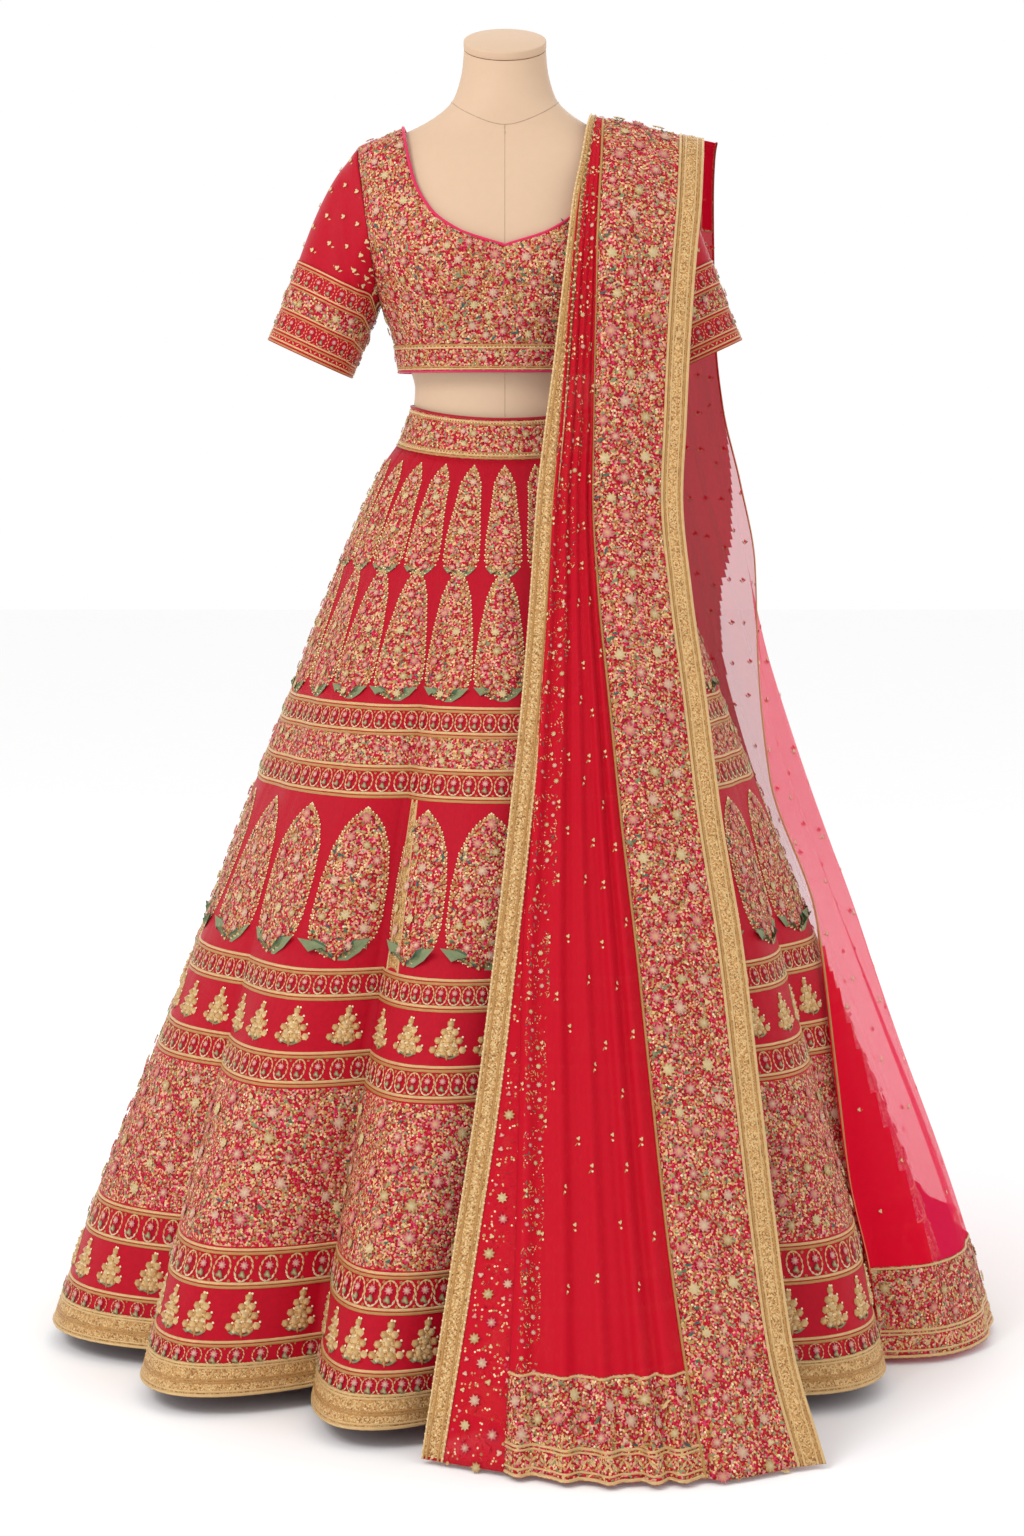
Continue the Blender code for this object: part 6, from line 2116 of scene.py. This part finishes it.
    def back_rows(self, skirt: Lehenga, columns: int) -> Array:
        """The back fall's few rows, from the shoulder to the floor."""
        rows = []
        for z_outer, z_inner, x_outer, y_outer, x_inner, y_inner, bow, _ in BACK_HANG:
            share = np.linspace(0.0, 1.0, columns + 1)
            stand = 4.0 * bow * share * (1.0 - share)
            rows.append(np.stack((mix(x_outer, x_inner, share) + 0.6 * stand, mix(y_outer, y_inner, share) + 0.8 * stand, mix(z_outer, z_inner, share)), axis=1))
        for height, start, end, start_stand, end_stand, _ in BACK_WRAP:
            line = []
            level = max(height, skirt.hem)
            crest = float(skirt.width(level))
            for column in range(columns + 1):
                share = column / columns
                angle = mix(start, end, share)
                inside = skirt.fold(self.place_at(skirt, angle, level), level)
                tucked = ease((self.tuck_top - height) / self.tuck_reach)
                free = mix(1.0, ease((angle - start) / 14.0), tucked)
                radius = mix(crest - inside + 0.014, crest + mix(start_stand, end_stand, share), free)
                turn = math.radians(angle)
                line.append((radius * math.sin(turn), -radius * float(skirt.ratio(level)) * math.cos(turn), height))
            rows.append(np.array(line))
        return np.array(rows)

    def place_at(self, skirt: Lehenga, angle: float, height: float) -> float:
        """The place round the skirt, in kalis, that lies at an angle."""
        low, high = -24.0, 48.0
        for _ in range(24):
            middle = (low + high) / 2.0
            if skirt.angle(middle, height) < angle:
                low = middle
            else:
                high = middle
        return low

    def gather(self, piece: bpy.types.Object, face: Face) -> None:
        """Gives the fall its denser net where it hangs folded, inside a sheer outer strip that widens downward."""
        for finish in (DEEP_NET, NET_INSIDE):
            piece.data.materials.append(finish.material())
        heights, widest = face.points[:, 0, 2], face.points[:, :, 0].max(axis=1)
        for polygon in piece.data.polygons:
            x, _, z = polygon.center
            strip = self.sheer_strip * ease((self.sheer_top - z) / self.sheer_reach)
            if x < float(np.interp(z, heights, widest)) - strip + 0.0005:
                polygon.material_index = 2

    def back(self) -> None:
        """The fall behind: one sheer layer with soft folds, scattered bootis and its end border."""
        columns = 120
        grid = loft(self.back_rows(Lehenga(), columns), self.rows)
        plain = Face("fall", grid)
        pleat = Curve(range(16), [row[-1] for row in BACK_HANG + BACK_WRAP])
        heights = np.array([pleat(15.0 * (1.0 - row / self.rows)) for row in range(self.rows + 1)])
        share = np.linspace(0.0, 1.0, columns + 1)
        bent = share + 0.03 * np.sin(2.0 * math.pi * share + 0.9) + 0.02 * np.sin(6.0 * math.pi * share)
        wave = np.abs(np.sin(math.pi * 7.0 * bent)) ** 0.9 + 0.12 * np.sin(2.0 * math.pi * 15.0 * share)
        grown = np.minimum(share / 0.1, 1.0)
        out = plain.normals.copy()
        grid = grid + out * (heights[:, None] * (wave * grown)[None])[..., None]
        face = Face("fall", grid)
        made = cloth_piece("dupatta_back_net_cloth", [face], SHEER_NET, self.cloth, ["dupatta_back_fall", "dupatta_back_end_border"], NET_INSIDE)
        declare(made, [face])
        self.gather(made, face)
        work = Stitchery()
        heights = face.points[:, 0, 2]
        top = np.linspace(float(np.argmax(heights > self.edging_low)) / self.rows, 1.0, 30)
        edges = np.broadcast_to(np.array((0.002, 0.02, 0.085, 0.10))[None], (30, 4))
        work.patch(face, edges, np.broadcast_to(top[:, None], edges.shape), Work.GILT, 0.0012)
        length = self.length(face)
        booti = [Stitch(Motif.BLOSSOM, 0.0, 0.0, 0.0, 0.0050, (Thread.GOLD, Thread.PALE_GOLD, Thread.CREAM))]
        booti += [Stitch(Motif.LEAF, 0.0, -0.004, turn, 0.0040, LEAVES[3]) for turn in (0.9, -0.9)]
        u, v = [], []
        draws = random.Random(62)
        for row in range(24):
            for number in range(9):
                u.append((number + 0.5 * (row % 2) + draws.uniform(0.15, 0.4)) / 9.5)
                v.append((row + draws.uniform(0.25, 0.75)) / 24 * 0.84 + 0.1)
        work.lay(face, booti, np.array(u), np.array(v))
        for edge in (0.004, 0.994):
            self.line(work, face, edge, 0.0016, Thread.GOLD)
        work.piece("dupatta_back_bootis", "dupatta_net")
        self.end_border(work, face, length, 1.0, 54, "dupatta_back_end")


@dataclass
class Studio:
    """The pale floor, the soft lights and the camera."""

    eye: tuple[float, float, float] = (0.0085, -3.8, 1.1)
    pitch: float = math.radians(3.2)
    lens: float = 73.1
    shift: float = -0.115
    floor_size: float = 14.0

    def build(self) -> None:
        """Builds the floor, the lights, the world and the camera."""
        shape = bmesh.new()
        bmesh.ops.create_grid(shape, x_segments=2, y_segments=2, size=self.floor_size)
        mesh = bpy.data.meshes.new("floor")
        shape.to_mesh(mesh)
        shape.free()
        mesh.materials.append(FLOOR.material())
        floor = bpy.data.objects.new("floor", mesh)
        floor.location = (0.0, 0.0, -0.0005)
        bpy.context.scene.collection.objects.link(floor)
        world = bpy.data.worlds.new("studio")
        world.use_nodes = True
        world.node_tree.nodes["Background"].inputs["Color"].default_value = (1.0, 1.0, 1.0, 1.0)
        world.node_tree.nodes["Background"].inputs["Strength"].default_value = 1.0
        bpy.context.scene.world = world
        bpy.context.scene.view_settings.view_transform = "Standard"
        self.light("key", (-2.4, -2.6, 3.6), 1.6, 70.0)
        self.light("fill", (3.0, -2.4, 2.0), 2.6, 8.0)
        self.light("back", (0.6, 3.2, 2.8), 2.4, 20.0)
        camera = bpy.data.objects.new("camera", bpy.data.cameras.new("camera"))
        camera.data.lens = self.lens
        camera.data.sensor_width = 36.0
        camera.data.shift_y = self.shift
        camera.location = self.eye
        camera.rotation_euler = (math.pi / 2 - self.pitch, 0.0, 0.0)
        bpy.context.scene.collection.objects.link(camera)
        bpy.context.scene.camera = camera

    def light(self, name: str, place: tuple[float, float, float], size: float, power: float) -> None:
        """One soft square light that faces the object's middle."""
        lamp = bpy.data.lights.new(name, "AREA")
        lamp.energy = power
        lamp.size = size
        made = bpy.data.objects.new(name, lamp)
        made.location = place
        aim = Vector((0.0, 0.0, 0.8)) - Vector(place)
        made.rotation_euler = aim.to_track_quat("-Z", "Y").to_euler()
        bpy.context.scene.collection.objects.link(made)


def write_sizes() -> None:
    """Updates the view layer."""
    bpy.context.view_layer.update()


def main() -> None:
    """Builds every sub-assembly in order."""
    logging.basicConfig(level=logging.INFO, format="%(message)s")
    Studio().build()
    DressForm().build()
    Choli().build()
    Lehenga().build()
    Dupatta().build()
    write_sizes()


if __name__ == "__main__":
    main()
